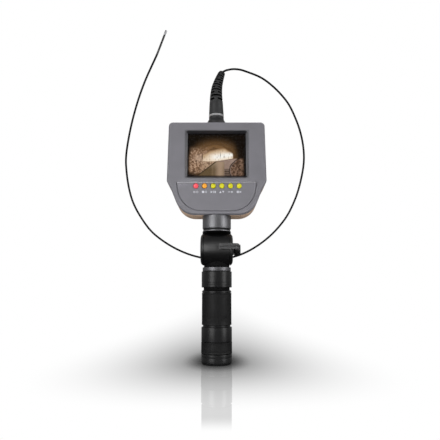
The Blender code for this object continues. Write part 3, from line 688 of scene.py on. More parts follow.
# ---------------------------------------------------------------- the picture on the screen
class Field:
    """A number at each point of the picture, worked out by Math nodes."""

    def __init__(self, paint, socket):
        self.paint = paint
        self.socket = socket

    def calc(self, operation, other=0.0, swap=False):
        value = other.socket if isinstance(other, Field) else other
        first, second = (value, self.socket) if swap else (self.socket, value)
        return Field(self.paint, self.paint.math(operation, first, second))

    def __add__(self, other):
        return self.calc("ADD", other)

    def __sub__(self, other):
        return self.calc("SUBTRACT", other)

    def __rsub__(self, other):
        return self.calc("SUBTRACT", other, swap=True)

    def __mul__(self, other):
        return self.calc("MULTIPLY", other)

    __radd__ = __add__
    __rmul__ = __mul__

    def hypot(self, other):
        return (self * self + other * other).calc("SQRT")

    def step(self, low, high):
        """0 below low and 1 above high, or the other way round if low is the higher."""
        if low < high:
            return Field(self.paint, self.paint.ramp(self.socket, low, high))
        return Field(self.paint, self.paint.ramp(self.socket, high, low, 1.0, 0.0))

    def band(self, centre, half):
        """1 at the centre, falling to 0 at half a width either side."""
        return (self - centre).calc("ABSOLUTE").step(half, 0.0)


def pipe_picture():
    """What the camera sees: the inside of an old pipe, lit from where the camera is."""
    paint = Paint("pipe_picture")
    parts = paint.add("ShaderNodeSeparateXYZ", None, {"Vector": paint.place}).outputs
    width, height = SCREEN_PICTURE
    x = (Field(paint, parts["X"]) + width / 2) * (1 / width)
    y = (Field(paint, parts["Z"]) - (SCREEN_CENTRE_Z - height / 2)) * (1 / height)
    coarse = Field(paint, paint.noise(130.0, 5.0)) - 0.5
    fine = Field(paint, paint.noise(620.0, 4.0)) - 0.5
    crust = Field(paint, paint.noise(520.0, 3.0)) - 0.5
    streaks = Field(paint, paint.noise(1.0, 3.0, (850.0, 1.0, 240.0))) - 0.5
    ripple = coarse * 0.10

    colour = (0.005, 0.003, 0.0015)

    def lay(share, over):
        nonlocal colour
        colour = paint.mix(colour, over, share.socket)

    # The roof: brown rings round the pipe's axis, lost in the dark at the top and the right.
    reach = ((x - 0.48) * 1.33).hypot(y - 0.30)
    rings = (reach * 58.0 + coarse * 7.0).calc("SINE").step(-0.2, 0.9)
    roof = reach.step(0.74, 0.28)
    lay(roof, (0.230, 0.118, 0.046))
    lay(roof * rings * 0.60, (0.060, 0.030, 0.012))
    lay(y.step(0.70, 1.00) * 0.85, (0.007, 0.004, 0.0015))
    lay((x + ripple * 0.5).step(0.76, 0.90) * 0.90, (0.006, 0.003, 0.0015))

    # The wall on the left, crusted with pale and dark specks.
    wall = (x + ripple).step(0.01, 0.09) * (x + ripple).step(0.48, 0.24) * (y + ripple).step(0.74, 0.52)
    wall = wall * (y + ripple).step(0.03, 0.15)
    lay(wall * 0.85, (0.270, 0.150, 0.085))
    lay(wall * crust.step(-0.02, 0.14) * 0.75, (0.640, 0.430, 0.290))
    lay(wall * crust.step(-0.05, -0.16) * 0.7, (0.050, 0.024, 0.013))
    lay(wall * streaks.step(0.06, 0.18) * y.step(0.30, 0.45) * 0.7, (0.070, 0.036, 0.018))

    lay(wall * y.band(0.42, 0.16) * x.step(0.04, 0.22) * 0.55, (0.610, 0.440, 0.320))
    lay(y.step(0.16, 0.0) * x.step(0.40, 0.10) * 0.85, (0.006, 0.004, 0.003))

    # The bank between that wall and the channel.
    bank = y - 0.339 - (x - 0.473) * 1.03
    lay(bank.step(0.0, 0.02) * y.step(0.41, 0.36) * x.step(0.17, 0.34) * 0.8, (0.520, 0.355, 0.230))
    lay(bank.step(0.0, 0.02) * y.step(0.41, 0.36) * crust.step(-0.02, -0.10) * 0.7, (0.090, 0.045, 0.026))

    # The brightest stretch of wall straight ahead.
    rise = (x - 0.64) * (x - 0.64) * -1.05 + 0.655
    top = rise.calc("MINIMUM", x * -0.95 + 1.265)
    sill = (x - 0.50).calc("MAXIMUM", 0.0) * 0.22 + 0.360
    ends = (x + fine * 0.02).step(0.245, 0.275) * (x + fine * 0.02).step(0.785, 0.765)
    glow = (y - top + ripple * 0.4).step(0.03, -0.04) * (y - sill).step(-0.010, 0.012) * ends
    lay(glow, (0.520, 0.340, 0.190))
    lit = (y - top).step(0.0, -0.15) * (x.step(0.24, 0.46) * 0.45 + 0.55)
    lay(glow * lit, (0.930, 0.770, 0.590))
    lay(glow * (y - sill).band(0.095, 0.10) * x.step(0.34, 0.52), (1.0, 0.96, 0.88))
    lay(glow * streaks.step(0.05, 0.17) * 0.55, (0.300, 0.175, 0.095))
    cracks = ((0.252, 0.015, 0.46, 0.13, 0.95), (0.563, 0.009, 0.50, 0.10, 0.90),
              (0.632, 0.006, 0.47, 0.07, 0.60), (0.700, 0.006, 0.47, 0.06, 0.45))
    for place, half, middle, tall, share in cracks:
        lay((x + fine * 0.03).band(place, half) * y.band(middle, tall) * share, (0.040, 0.020, 0.011))
    lip = (y - sill + fine * 0.01).band(-0.010, 0.014)
    lay(lip * x.step(0.48, 0.58) * ends * 0.8, (0.060, 0.034, 0.022))

    # The channel along the bottom, and the floor to the right of it.
    below = (y - sill).step(-0.004, -0.016)
    lay(below * x.step(0.50, 0.54) * x.step(0.86, 0.82), (0.300, 0.205, 0.160))
    pebbles = crust.step(0.02, 0.12) * x.step(0.86, 0.82)
    lay(below * x.step(0.52, 0.56) * pebbles * 0.5, (0.430, 0.320, 0.270))
    channel = bank.step(0.0, -0.015) * x.step(0.640, 0.615) * y.step(0.36, 0.33)
    lay(channel, (0.125, 0.080, 0.038))
    lay(channel * y.step(0.16, 0.36) * 0.7, (0.360, 0.270, 0.175))
    lay(channel * (x - ripple * 0.2).band(0.560, 0.125) * 0.95, (0.390, 0.268, 0.178))
    lay(channel * (x - ripple * 0.2).band(0.430, 0.030) * 0.35, (0.300, 0.205, 0.120))
    lay(bank.band(-0.004, 0.024) * y.step(0.38, 0.33), (0.014, 0.008, 0.004))

    # The rough wall on the right, beyond a dark crack.
    edge = x - 0.716 - (y - 0.14) * (y - 0.14) * 2.0 + fine * 0.03
    planks = (y * 120.0).calc("SINE").step(0.0, 0.8)
    corner = x.step(0.625, 0.640) * edge.step(0.0, -0.02) * y.step(0.20, 0.15)
    lay(corner * (planks * 0.4 + 0.6), (0.050, 0.030, 0.018))
    rough = edge.step(0.01, 0.03) * x.step(0.98, 0.92) * (y + ripple).step(0.46, 0.36)
    lay(rough, (0.115, 0.064, 0.038))
    lay(rough * crust.step(-0.02, 0.14) * 0.6, (0.340, 0.205, 0.140))
    lay(rough * crust.step(-0.04, -0.14) * 0.8, (0.030, 0.015, 0.009))
    lay(edge.band(0.0, 0.020) * y.step(0.43, 0.38), (0.010, 0.005, 0.003))

    shade = x.step(0.0, 0.035) * x.step(1.0, 0.955) * y.step(0.0, 0.045) * y.step(1.0, 0.95)
    dark = paint.mix((0.004, 0.003, 0.003), colour, shade.socket)
    paint.set("Base Color", (0.0005, 0.0005, 0.0005))
    paint.set("Roughness", paint.ramp(paint.noise(300.0), 0.3, 0.7, 0.22, 0.30))
    paint.set("Specular IOR Level", 0.05)
    paint.set("Emission Color", dark)
    paint.set("Emission Strength", 1.0)
    return paint.material


# ---------------------------------------------------------------- camera, light and floor
def make_camera():
    data = bpy.data.cameras.new("camera")
    data.lens = CAMERA_LENS
    camera = bpy.data.objects.new("camera", data)
    camera.location = CAMERA_PLACE
    camera.rotation_euler = (CAMERA_PITCH, 0, 0)
    bpy.context.scene.collection.objects.link(camera)
    bpy.context.scene.camera = camera


def panel_light(name, place, target, size, power, glossy=True):
    """A soft rectangular light that faces its target and isn't itself in view."""
    data = bpy.data.lights.new(name, "AREA")
    data.shape = "RECTANGLE"
    data.size, data.size_y = size
    data.energy = power
    light = bpy.data.objects.new(name, data)
    light.location = place
    light.rotation_euler = (Vector(target) - Vector(place)).to_track_quat("-Z", "Y").to_euler()
    light.visible_camera = False
    light.visible_glossy = glossy
    bpy.context.scene.collection.objects.link(light)


def make_lights():
    """Two upright soft boxes beside the camera for the long highlights, a fill from the front, a soft
    light overhead and a weak one from the ground, as a pale floor would throw back."""
    middle = (0, 0, 0.20)
    panel_light("left_box", (-0.56, -0.76, 0.28), middle, (0.52, 0.70), 4.2)
    panel_light("right_box", (0.80, -0.48, 0.30), middle, (0.40, 0.75), 3.2)
    panel_light("front_fill", (0.0, -1.3, 0.55), middle, (1.2, 0.8), 4.2, glossy=False)
    panel_light("overhead", (0.0, 0.05, 1.25), (0, 0, 0), (0.45, 0.45), 7.0, glossy=False)
    panel_light("ground", (0.0, -0.07, 0.002), middle, (0.30, 0.16), 0.50, glossy=False)


def grey_level(level):
    return (level, level, level, 1.0)


def make_world():
    """A white surround for the picture's background.  What falls on the object is dimmer, and
    fades out towards the ground and straight overhead."""
    world = bpy.data.worlds.new("studio")
    world.use_nodes = True
    bpy.context.scene.world = world
    tree = world.node_tree
    direction = tree.nodes.new("ShaderNodeTexCoord").outputs["Generated"]
    parts = tree.nodes.new("ShaderNodeSeparateXYZ")
    tree.links.new(direction, parts.inputs["Vector"])
    surround = tree.nodes.new("ShaderNodeValToRGB")
    surround.color_ramp.interpolation = "EASE"
    first, last = surround.color_ramp.elements
    first.position, first.color = 0.0, grey_level(0.03)
    last.position, last.color = 1.0, grey_level(0.10)
    for position, level in ((0.38, 0.05), (0.50, SURROUND), (0.72, SURROUND)):
        surround.color_ramp.elements.new(position).color = grey_level(level)
    height = tree.nodes.new("ShaderNodeMapRange")
    height.inputs["From Min"].default_value = -1.0
    tree.links.new(parts.outputs["Z"], height.inputs["Value"])
    tree.links.new(height.outputs["Result"], surround.inputs["Fac"])
    seen = tree.nodes.new("ShaderNodeLightPath").outputs["Is Camera Ray"]
    either = tree.nodes.new("ShaderNodeMix")
    either.data_type = "RGBA"
    tree.links.new(seen, either.inputs["Factor"])
    tree.links.new(surround.outputs["Color"], either.inputs[6])
    either.inputs[7].default_value = grey_level(1.0)
    tree.links.new(either.outputs[2], tree.nodes["Background"].inputs["Color"])


def make_floor():
    """A wide pale floor, level with the tail cap's end, with a painted shadow round the handle's foot and
    glowing white farther off, and with a faint polish near the foot, which mirrors the object but not the
    soft boxes."""
    paint = Paint("pale_floor_painted_shadow")
    parts = paint.add("ShaderNodeSeparateXYZ", None, {"Vector": paint.place}).outputs
    depth = (Field(paint, parts["Y"]) - 0.025).calc("MAXIMUM", -0.40)
    depth = depth * 0.42 * (depth * 1.9 + 1.0).calc("DIVIDE", 1.0, swap=True)
    distance = Field(paint, parts["X"]).hypot(depth)
    # Painted shadow round the handle's foot: near is 1 there and fades out at the shadow's radius; white is
    # the unshadowed share, which also sets the floor's glow.
    near = 1.0 - (distance * (1 / FLOOR_SHADOW_RADIUS)).calc("MINIMUM", 1.0)
    white = (1.0 - near * near) * distance.step(0.010, 0.045)
    pale = paint.mix((0.13, 0.13, 0.13), (0.16, 0.16, 0.16), paint.ramp(paint.noise(6.0, 3.0), 0.3, 0.7))
    paint.set("Base Color", paint.mix(pale, (0.0, 0.0, 0.0), white.socket))
    paint.set("Roughness", 0.5)
    paint.set("Specular IOR Level", 0.0)
    paint.set("Emission Color", (1.0, 1.0, 1.0))
    paint.set("Emission Strength", white.socket)
    # The polish is dimmed by the same painted shadow.
    mirrored_white = (white * (1 / SURROUND)).socket
    polish = paint.add("ShaderNodeBsdfGlossy", None, {"Color": mirrored_white, "Roughness": 0.02})
    both = paint.add("ShaderNodeMixShader")
    paint.feed(both.inputs[0], (distance.step(0.30, 0.22) * 0.32).socket)
    paint.feed(both.inputs[1], paint.shader.outputs[0])
    paint.feed(both.inputs[2], polish.outputs[0])
    paint.tree.links.new(both.outputs[0], paint.tree.nodes["Material Output"].inputs["Surface"])
    shape = bmesh.new()
    bmesh.ops.create_circle(shape, cap_ends=True, segments=128, radius=6.0)
    floor = new_object("floor", shape, paint.material)
    floor.visible_glossy = False
    floor.visible_diffuse = False
    unlit = bpy.data.collections.new("unlit_by_boxes")
    unlit.objects.link(floor)
    unlit.collection_objects[0].light_linking.link_state = "EXCLUDE"
    for name in ("left_box", "right_box"):
        bpy.data.objects[name].light_linking.receiver_collection = unlit


# ---------------------------------------------------------------- probe
def tube_along(name, path, radius, material):
    """A round tube along a path, whose UV runs along it in metres."""
    sides = 14
    shape = bmesh.new()
    uv = shape.loops.layers.uv.new("along")
    lengths = [0.0]
    for here, after in zip(path, path[1:]):
        lengths.append(lengths[-1] + (after - here).length)
    rings = []
    for point, side, up in frames_along(path):
        ring = []
        for step in range(sides):
            turn = 2 * math.pi * step / sides
            ring.append(shape.verts.new(point + (side * math.cos(turn) + up * math.sin(turn)) * radius))
        rings.append(ring)
    for i in range(len(rings) - 1):
        for j in range(sides):
            k = (j + 1) % sides
            face = shape.faces.new((rings[i][j], rings[i][k], rings[i + 1][k], rings[i + 1][j]))
            for loop, (row, share) in zip(face.loops, ((i, j), (i, j + 1), (i + 1, j + 1), (i + 1, j))):
                loop[uv].uv = (lengths[row], share / sides)
    for ring in (rings[0], rings[-1]):
        shape.faces.new(ring)
    return new_object(name, shape, material)


def tip_pieces():
    """The camera head at the probe's end: a ring, a black body and a ferrule with the lens in it."""
    start, end = Vector(PROBE_ROUTE[-1]), Vector(TIP_END)
    line = end - start
    length = line.length
    onto = Matrix.Translation(start) @ line.to_track_quat("Z", "Y").to_matrix().to_4x4()
    ring_top, ferrule_bottom, recess = 0.0018, length - 0.0060, length - 0.0015
    ring = [(0, GAP, 0), (TIP_RING_RADIUS, GAP, 0.0002),
            (TIP_RING_RADIUS, ring_top, 0.0002), (0, ring_top, 0)]
    body = [(0, ring_top + GAP, 0), (TIP_RADIUS, ring_top + GAP, 0.0002),
            (TIP_RADIUS, ferrule_bottom - GAP, 0.0002), (0, ferrule_bottom - GAP, 0)]
    ferrule = [(0, ferrule_bottom, 0), (TIP_RING_RADIUS, ferrule_bottom, 0.0002),
               (TIP_RING_RADIUS, length, 0.00025), (0.0009, length, 0.0001),
               (0.0009, recess, 0), (0, recess, 0)]
    lens = [(0, recess + GAP / 2, 0), (0.00075, recess + GAP / 2, 0), (0.00075, length - 0.0007, 0.0002),
            (0, length - 0.0004, 0)]
    made = []
    pieces = (("tip_ring", ring, satin_metal()), ("camera_body", body, black_plastic()),
              ("tip_ferrule", ferrule, steel()), ("tip_lens", lens, clear_glass()))
    for node, corners, material in pieces:
        piece = lathe(node + "_shown", arcs(corners, 4), material, steps=32, closed=False)
        made.append(show(turn_to(piece, onto), "head", node))
    return made


def make_probe():
    path = smooth_path(PROBE_ROUTE, 8)
    probe = tube_along("probe", path, PROBE_RADIUS, probe_sheath())
    show(probe, "head", "probe_tube")
    tip_pieces()


def boot_radius(share):
    """The strain relief's radius at a share of its route."""
    spans = len(BOOT_ROUTE) - 1
    at = min(share * spans, spans - 1e-9)
    low, high = BOOT_ROUTE[int(at)][3], BOOT_ROUTE[int(at) + 1][3]
    return low + (high - low) * (at - int(at))


def slot_opening(facing, row):
    """1 in a slot and 0 in the rib beside it, for a wall that faces this much to the front or back.

    Odd rows have one slot in front and one behind; even rows have one on each side.
    """
    amount = (facing - 0.42) / 0.10 if row % 2 == 1 else (0.955 - facing) / 0.04
    return min(1.0, max(0.0, amount))


def boot_steps():
    """(share of the length, slot depth from 0 to 1, row) for each ring of the strain relief."""
    steps = [(0.0, 0.0, 0), (0.002, 0.0, 0)] + [(0.01 + 0.01 * i, 0.0, 0) for i in range(21)]
    row_height = (SLOTS_TO - SLOTS_FROM) / SLOT_ROWS
    slot = row_height * 0.56
    lip = slot * 0.10
    for row in range(SLOT_ROWS):
        start = SLOTS_FROM + row * row_height
        for offset, depth in ((0.0, 0.0), (lip / 2, 0.12), (lip, 1.0), (slot / 2, 1.0),
                              (slot - lip, 1.0), (slot - lip / 2, 0.12), (slot, 0.0),
                              ((slot + row_height) / 2, 0.0)):
            steps.append((start + offset, depth, row))
    return steps + [(SLOTS_TO + (1 - SLOTS_TO) * i / 8, 0.0, 0) for i in range(9)]


def make_strain_relief():
    """A tapered rubber boot with staggered slots, and fine ribs round its foot."""
    per_span, sides, ribs, rib_depth = 40, 96, 44, 0.00018
    least_core, core_share = 0.0022, 0.52
    path = smooth_path([point[:3] for point in BOOT_ROUTE], per_span)
    places = frames_along(path)
    rings, shaded_slot_rows = [], []
    for share, depth, row in boot_steps():
        at = min(share * (len(path) - 1), len(path) - 1 - 1e-6)
        point, side, up = (a.lerp(b, at - int(at)) for a, b in zip(places[int(at)], places[int(at) + 1]))
        body = boot_radius(share)
        core = max(least_core, body * core_share)
        rounding = math.sqrt(1 - (max(0.0, share - SLOTS_TO) / (1.3 * (1 - SLOTS_TO))) ** 2)
        ribbed = min(1.0, max(0.0, (0.12 - share) / 0.03)) if share > 0.005 else 0.0
        ring, floor = [], []
        for step in range(sides):
            angle = 2 * math.pi * step / sides
            across = side * math.cos(angle) + up * math.sin(angle)
            opening = depth * slot_opening(abs(across.y), row)
            floor.append(opening > 0.5)
            out = body * rounding - (body - core) * opening
            out -= rib_depth * ribbed * (0.5 + 0.5 * math.cos(angle * ribs))
            ring.append(point + across * out)
        rings.append(ring)
        shaded_slot_rows.append(floor)
    boot = new_object("strain_relief_shown", skin(rings), boot_rubber(), sharp=40)
    # Painted shade: the faces in the slots take the dull black.
    boot.data.materials.append(painted_shade_black())
    for face in boot.data.polygons:
        row, step = divmod(face.index, sides)
        if row + 1 < len(shaded_slot_rows):
            face.material_index = int(shaded_slot_rows[row][step] or shaded_slot_rows[row + 1][step])
    show(boot, "head", "strain_relief")


# ---------------------------------------------------------------- small turned pieces
def turned_size(node):
    """The bottom, top and radius of a CAD node that is turned about an upright axis."""
    low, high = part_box(node)
    return low.z, high.z, (high.x - low.x) / 2


def turned_ring(node, material, body, bore, edge=0.0004, axis_x=0.0):
    """A ring with rounded outer edges, in the place of a CAD node."""
    bottom, top, radius = turned_size(node)
    corners = [(bore, top, 0), (radius, top, edge), (radius, bottom, edge), (bore, bottom, 0)]
    ring = lathe(node + "_shown", arcs(corners), material)
    show(turn_to(ring, Matrix.Translation((axis_x, 0, 0))), body, node)


def knurl(around, pitch, depth, bottom, top, fade):
    """A relief of small pyramids between two heights, for lathe()."""
    def relief(angle, height):
        if not bottom < height < top:
            return 0.0
        turn = angle / (2 * math.pi) * around
        rise = height / pitch
        first = abs((turn + rise) % 1.0 - 0.5) * 2
        second = abs((turn - rise) % 1.0 - 0.5) * 2
        near_end = min(1.0, (height - bottom) / fade, (top - height) / fade)
        return -depth * (1.0 - min(first, second)) * near_end
    return relief


def knurled_sleeve(node, body, around, pitch, depth, margin):
    """A sleeve in the place of a CAD node, with a diamond knurl between plain margins."""
    bottom, top, radius = turned_size(node)
    edge, per_cell = 0.0006, 4
    first, last = bottom + margin, top - margin
    count = int((last - first) / pitch * per_cell)
    heights = [first + (last - first) * i / count for i in range(count + 1)]
    bore = radius * 0.88
    ends = arcs([(radius, top, edge), (bore, top, 0), (bore, bottom, 0), (radius, bottom, edge)], 4)
    profile = ends + [(radius, height) for height in heights]
    relief = knurl(around, pitch, depth, first - 1e-6, last + 1e-6, pitch)
    sleeve = lathe(node + "_shown", profile, knurled_black(), steps=around * per_cell, relief=relief)
    show(sleeve, body, node)


# ---------------------------------------------------------------- handle
def make_tail_cap():
    """The screw-off end: a fine groove near its top, a soft lower edge and a spigot with a seal groove."""
    bottom, spigot_top, radius = turned_size("tail_cap")
    top, groove, groove_half, groove_depth = 0.0124, 0.0084, 0.0004, 0.0006
    spigot, seal_groove, seal_bottom, seal_top = 0.0126, 0.0107, 0.0170, 0.0190
    foot, foot_height = 0.0164, 0.0026
    corners = [
        (0, spigot_top, 0), (spigot, spigot_top, 0.0005), (spigot, seal_top, 0), (seal_groove, seal_top, 0),
        (seal_groove, seal_bottom, 0), (spigot, seal_bottom, 0), (spigot, top, 0), (radius, top, 0.0005),
        (radius, groove + groove_half, 0.0002), (radius - groove_depth, groove + groove_half, 0.0001),
        (radius - groove_depth, groove - groove_half, 0.0001), (radius, groove - groove_half, 0.0002),
        (radius, foot_height, 0.0020), (foot, bottom, 0.0004), (0, bottom, 0),
    ]
    show(lathe("tail_cap_shown", arcs(corners), black_anodised(), closed=False), "tail", "tail_cap")


def make_sleeve(node, rings=()):
    """A glossy sleeve, with fine turned rings at the given heights."""
    bottom, top, radius = turned_size(node)
    bore = radius * 0.92
    half, depth = 0.00022, 0.00018
    corners = [(bore, top, 0), (radius, top, 0.0006)]
    for height in sorted(rings, reverse=True):
        corners += [(radius, height + half, 0), (radius - depth, height, 0), (radius, height - half, 0)]
    corners += [(radius, bottom, 0.0006), (bore, bottom, 0)]
    show(lathe(node + "_shown", arcs(corners), black_anodised()), "handle", node)


def make_handle_tube():
    """The tube seen between the sleeves, with a cone that leads up from the grip."""
    bottom, top, _ = turned_size("handle_tube")
    cone_bottom = turned_size("grip_sleeve")[1] + GAP
    cone_foot = cone_bottom - GAP + 0.0022
    groove_top = turned_size("upper_collar")[0] + 0.0010
    bore, cone = 0.0130, 0.0176
    corners = [
        (bore, top, 0), (TUBE_RADIUS, top, 0.0003), (TUBE_RADIUS, groove_top, 0),
        (GROOVE_RADIUS, groove_top, 0), (GROOVE_RADIUS, SHOULDER_TOP, 0.0004),
        (cone, cone_foot, 0.0008), (cone, cone_bottom, 0.0002),
        (TUBE_RADIUS, cone_bottom, 0), (TUBE_RADIUS, bottom, 0.0003), (bore, bottom, 0),
    ]
    tube = lathe("handle_tube_shown", arcs(corners), black_anodised())
    # Painted shade: the groove above the shoulder takes the dull black.
    tube.data.materials.append(painted_shade_black())
    for face in tube.data.polygons:
        face.material_index = int(face.center.z > SHOULDER_TOP)
    show(tube, "handle", "handle_tube")


def make_handle():
    make_tail_cap()
    knurled_sleeve("knurled_band", "tail", 80, 0.0014, 0.00035, 0.0009)
    make_sleeve("lower_barrel")
    knurled_sleeve("grip_sleeve", "handle", 76, 0.0015, 0.00035, 0.0010)
    make_handle_tube()
    collar_bottom = turned_size("upper_collar")[0]
    make_sleeve("upper_collar", (collar_bottom + 0.0036, collar_bottom + 0.0060))
    turned_ring("elbow_ring", ring_metal(), "handle", 0.0128)


# ---------------------------------------------------------------- elbow
def elbow_radius(x):
    """The elbow's radius at a distance from its middle: a crowned barrel with rounded ends."""
    shoulder = ELBOW_HALF_WIDTH - ELBOW_EDGE
    crown = ELBOW_CROWN * min(1.0, abs(x) / shoulder) ** 2
    past = abs(x) - shoulder
    if past <= 0:
        return ELBOW_RADIUS - crown
    return ELBOW_RADIUS - crown - ELBOW_EDGE + math.sqrt(max(ELBOW_EDGE ** 2 - past ** 2, 0.0))


def swept_elbow():
    """A cutter for all that the elbow's round surface may pass through."""
    steps = 24
    places = [ELBOW_HALF_WIDTH * (1 - 2 * i / steps) for i in range(steps + 1)]
    side = [(elbow_radius(x) + GAP, x) for x in places]
    profile = [(0, ELBOW_HALF_WIDTH)] + side + [(0, -ELBOW_HALF_WIDTH)]
    return along_x(lathe("swept_elbow", profile, closed=False))


def make_elbow_barrel():
    """The fixed middle of the elbow, and its foot in the collar below, dull black as painted shade."""
    seam_edge, steps = 0.0004, 24
    reach = BARREL_HALF - seam_edge
    pocket, floor = 0.0140, BARREL_HALF - 0.0018
    rim = elbow_radius(BARREL_HALF) - seam_edge
    places = [reach - 2 * reach * i / steps for i in range(steps + 1)]
    profile = [(BOLT_BORE, floor), (pocket, floor), (pocket, BARREL_HALF), (rim, BARREL_HALF)]
    profile += [(elbow_radius(x), x) for x in places]
    profile += [(rim, -BARREL_HALF), (pocket, -BARREL_HALF), (pocket, -floor), (BOLT_BORE, -floor)]
    barrel = along_x(lathe("elbow_barrel_shown", profile))
    show(settle(barrel, elbow_black()), "handle", "elbow_barrel")
    spigot, spigot_end, collar = 0.0125, 0.1040, 0.0154
    collar_bottom, collar_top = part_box("elbow_ring")[1].z + GAP, ELBOW_Z - 0.0145
    corners = [(0, spigot_end, 0), (spigot, spigot_end, 0.0004), (spigot, collar_bottom, 0),
               (collar, collar_bottom, 0.0004), (collar, collar_top, 0), (0, collar_top, 0)]
    foot = lathe("elbow_foot", arcs(corners, 4), closed=False)
    # The foot takes the dull black as painted shade.
    show(settle(combine(foot, swept_elbow()), painted_shade_black()), "handle", "elbow_barrel")


def make_cheek(name, side):
    """One of the yoke's two end discs, with the tab that reaches up to the neck's plate."""
    near, far, steps = BARREL_HALF + GAP, ELBOW_HALF_WIDTH, 10
    seam_edge = 0.0004
    recess_radius, recess_depth = 0.0074, 0.0022
    profile = [(BOLT_BORE, near), (elbow_radius(near) - seam_edge, near)]
    for i in range(steps + 1):
        place = near + seam_edge + (far - near - seam_edge) * i / steps
        profile.append((elbow_radius(place), place))
    if side < 0:
        profile += [(recess_radius + 0.0004, far), (recess_radius, far - 0.0004),
                    (recess_radius, far - recess_depth), (BOLT_BORE, far - recess_depth)]
    else:
        profile += [(BOLT_BORE, far)]
    cheek = along_x(lathe(name, profile), side)
    low, high = sorted((side * near, side * (near + 0.0012)))
    tab = block("tab", (low, -0.0060, ELBOW_Z + 0.0140), (high, 0.0060, SADDLE_TOP), edge=0.0003)
    combine(cheek, tab, "UNION")
    return settle(cheek, elbow_black())


def make_yoke():
    """Both cheeks, the pale plate above the elbow whose spindle carries the neck, and its underside, dull
    black as painted shade.
    """
    show(make_cheek("elbow_cheek_right", 1), "elbow", "elbow_yoke")
    show(make_cheek("elbow_cheek_left", -1), "elbow", "elbow_yoke")
    thread, thread_top = 0.0090, 0.1885
    spindle, spindle_top = 0.0110, 0.1848
    disc, disc_top, disc_bottom = 0.0169, 0.1586, 0.1572
    corners = [(0, thread_top, 0), (thread, thread_top, 0.0004), (thread, spindle_top, 0),
               (spindle, spindle_top, 0.0003), (spindle, disc_top, 0), (disc, disc_top, 0.0004),
               (disc, disc_bottom, 0.0004), (0, disc_bottom, 0)]
    plate = lathe("elbow_plate", arcs(corners), bright_metal(), closed=False)
    show(plate, "elbow", "elbow_yoke", slot="satin_metal")
    wide, rim, narrow, tip = 0.0165, 0.1568, 0.0080, 0.1540
    profile = [(0, SADDLE_TOP), (wide, SADDLE_TOP), (wide, rim), (narrow, tip), (0, tip)]
    saddle = lathe("elbow_saddle", profile, closed=False)
    bar = block("saddle_bar", (-0.0158, -0.0075, 0.1500), (0.0158, 0.0075, SADDLE_TOP), edge=0.0003)
    combine(saddle, bar, "UNION")
    # The underside takes the dull black as painted shade.
    show(settle(combine(saddle, swept_elbow()), painted_shade_black()), "elbow", "elbow_yoke")


def make_bolt():
    """The pivot bolt, whose socket head sits in the left cheek."""
    head_face, head_back, shaft_end = 0.0191, 0.0176, 0.0275
    corners = [(0, shaft_end, 0), (0.0040, shaft_end, 0.0003), (0.0040, -head_back, 0),
               (0.0070, -head_back, 0.0002), (0.0070, -head_face, 0.0005), (0, -head_face, 0)]
    bolt = along_x(lathe("pivot_bolt_shown", arcs(corners), closed=False))
    combine(bolt, along_x(pin(-head_face - 0.0020, -head_face + 0.0030, 0.0026, 6)))
    show(settle(bolt, dark_metal("X")), "handle", "pivot_bolt")


def lever_section():
    """The lever arm's section, as heights and distances forward: two ribs with a groove between them."""
    half, front, back = 0.0033, 0.0020, -0.0020
    groove_mouth, groove_floor, groove_depth = 0.0010, 0.0005, 0.0009
    corners = [(half, back, 0.0006), (half, front, 0.0010), (groove_mouth, front, 0.0004),
               (groove_floor, front - groove_depth, 0.0002), (-groove_floor, front - groove_depth, 0.0002),
               (-groove_mouth, front, 0.0004), (-half, front, 0.0010), (-half, back, 0.0006)]
    return arcs(corners, 4)


def make_lever_arm():
    """A bar that leaves the hub forwards and turns across the elbow's front, with a rounded end."""
    low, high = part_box("lever_arm")
    middle_z = (low.z + high.z) / 2
    arm_y = low.y + 0.0020
    leg_x = high.x - 0.0020
    root_y = high.y + 0.0030
    bend = 0.0030
    end_round = 0.0019
    path = [(Vector((leg_x, y, middle_z)), 1.0) for y in (root_y, (root_y + arm_y + bend) / 2)]
    centre = Vector((leg_x - bend, arm_y + bend, middle_z))
    for step in range(13):
        turn = math.pi / 2 * step / 12
        path.append((centre + Vector((bend * math.cos(turn), -bend * math.sin(turn), 0)), 1.0))
    bend_x, end_x = leg_x - bend, low.x + end_round
    for share in (0.25, 0.5, 0.75):
        path.append((Vector((bend_x + (end_x - bend_x) * share, arm_y, middle_z)), 1.0))
    for step in range(9):
        turn = math.pi / 2 * step / 8
        size = max(math.cos(turn), 0.05)
        path.append((Vector((end_x - end_round * math.sin(turn), arm_y, middle_z)), size))
    section = lever_section()
    rings = []
    for i, (point, size) in enumerate(path):
        ahead = (path[min(i + 1, len(path) - 1)][0] - path[max(i - 1, 0)][0]).normalized()
        front = Vector((-ahead.y, ahead.x, 0)) * size
        upward = Vector((0, 0, 0.35 + 0.65 * size))
        rings.append([point + upward * z + front * out for z, out in section])
    arm = new_object("lever_arm_shown", skin(rings), lever_plastic(), sharp=45)
    show(arm, "lever", "lever_arm")


def make_lever():
    """The lever's hub with its clamping ring and nut, and its arm."""
    pieces = (("lever_hub", black_plastic(), 0.0008), ("lever_ring", satin_metal("X"), 0.0003),
              ("lever_nut", black_plastic(), 0.0004))
    for node, material, edge in pieces:
        low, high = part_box(node)
        radius = (high.y - low.y) / 2
        bore = 0.0 if node == "lever_nut" else BOLT_BORE
        corners = [(bore, high.x, 0), (radius, high.x, edge), (radius, low.x, edge), (bore, low.x, 0)]
        piece = along_x(lathe(node + "_shown", arcs(corners), material, closed=bore > 0))
        show(piece, "lever", node)
    make_lever_arm()


# ---------------------------------------------------------------- neck and probe nut
def make_neck():
    """The metal neck, whose spigot goes up into the head, on its rubber seal."""
    bottom, top, radius = turned_size("neck_tube")
    shoulder, spigot, bore = 0.1767, 0.0130, 0.0114
    corners = [(bore, top, 0), (spigot, top, 0.0004), (spigot, shoulder, 0),
               (radius, shoulder, 0.0003), (radius, bottom, 0.0007), (bore, bottom, 0)]
    show(lathe("neck_tube_shown", arcs(corners), satin_metal()), "head", "neck_tube")
    turned_ring("neck_seal", seal_rubber(), "elbow", 0.0113, edge=0.0005)


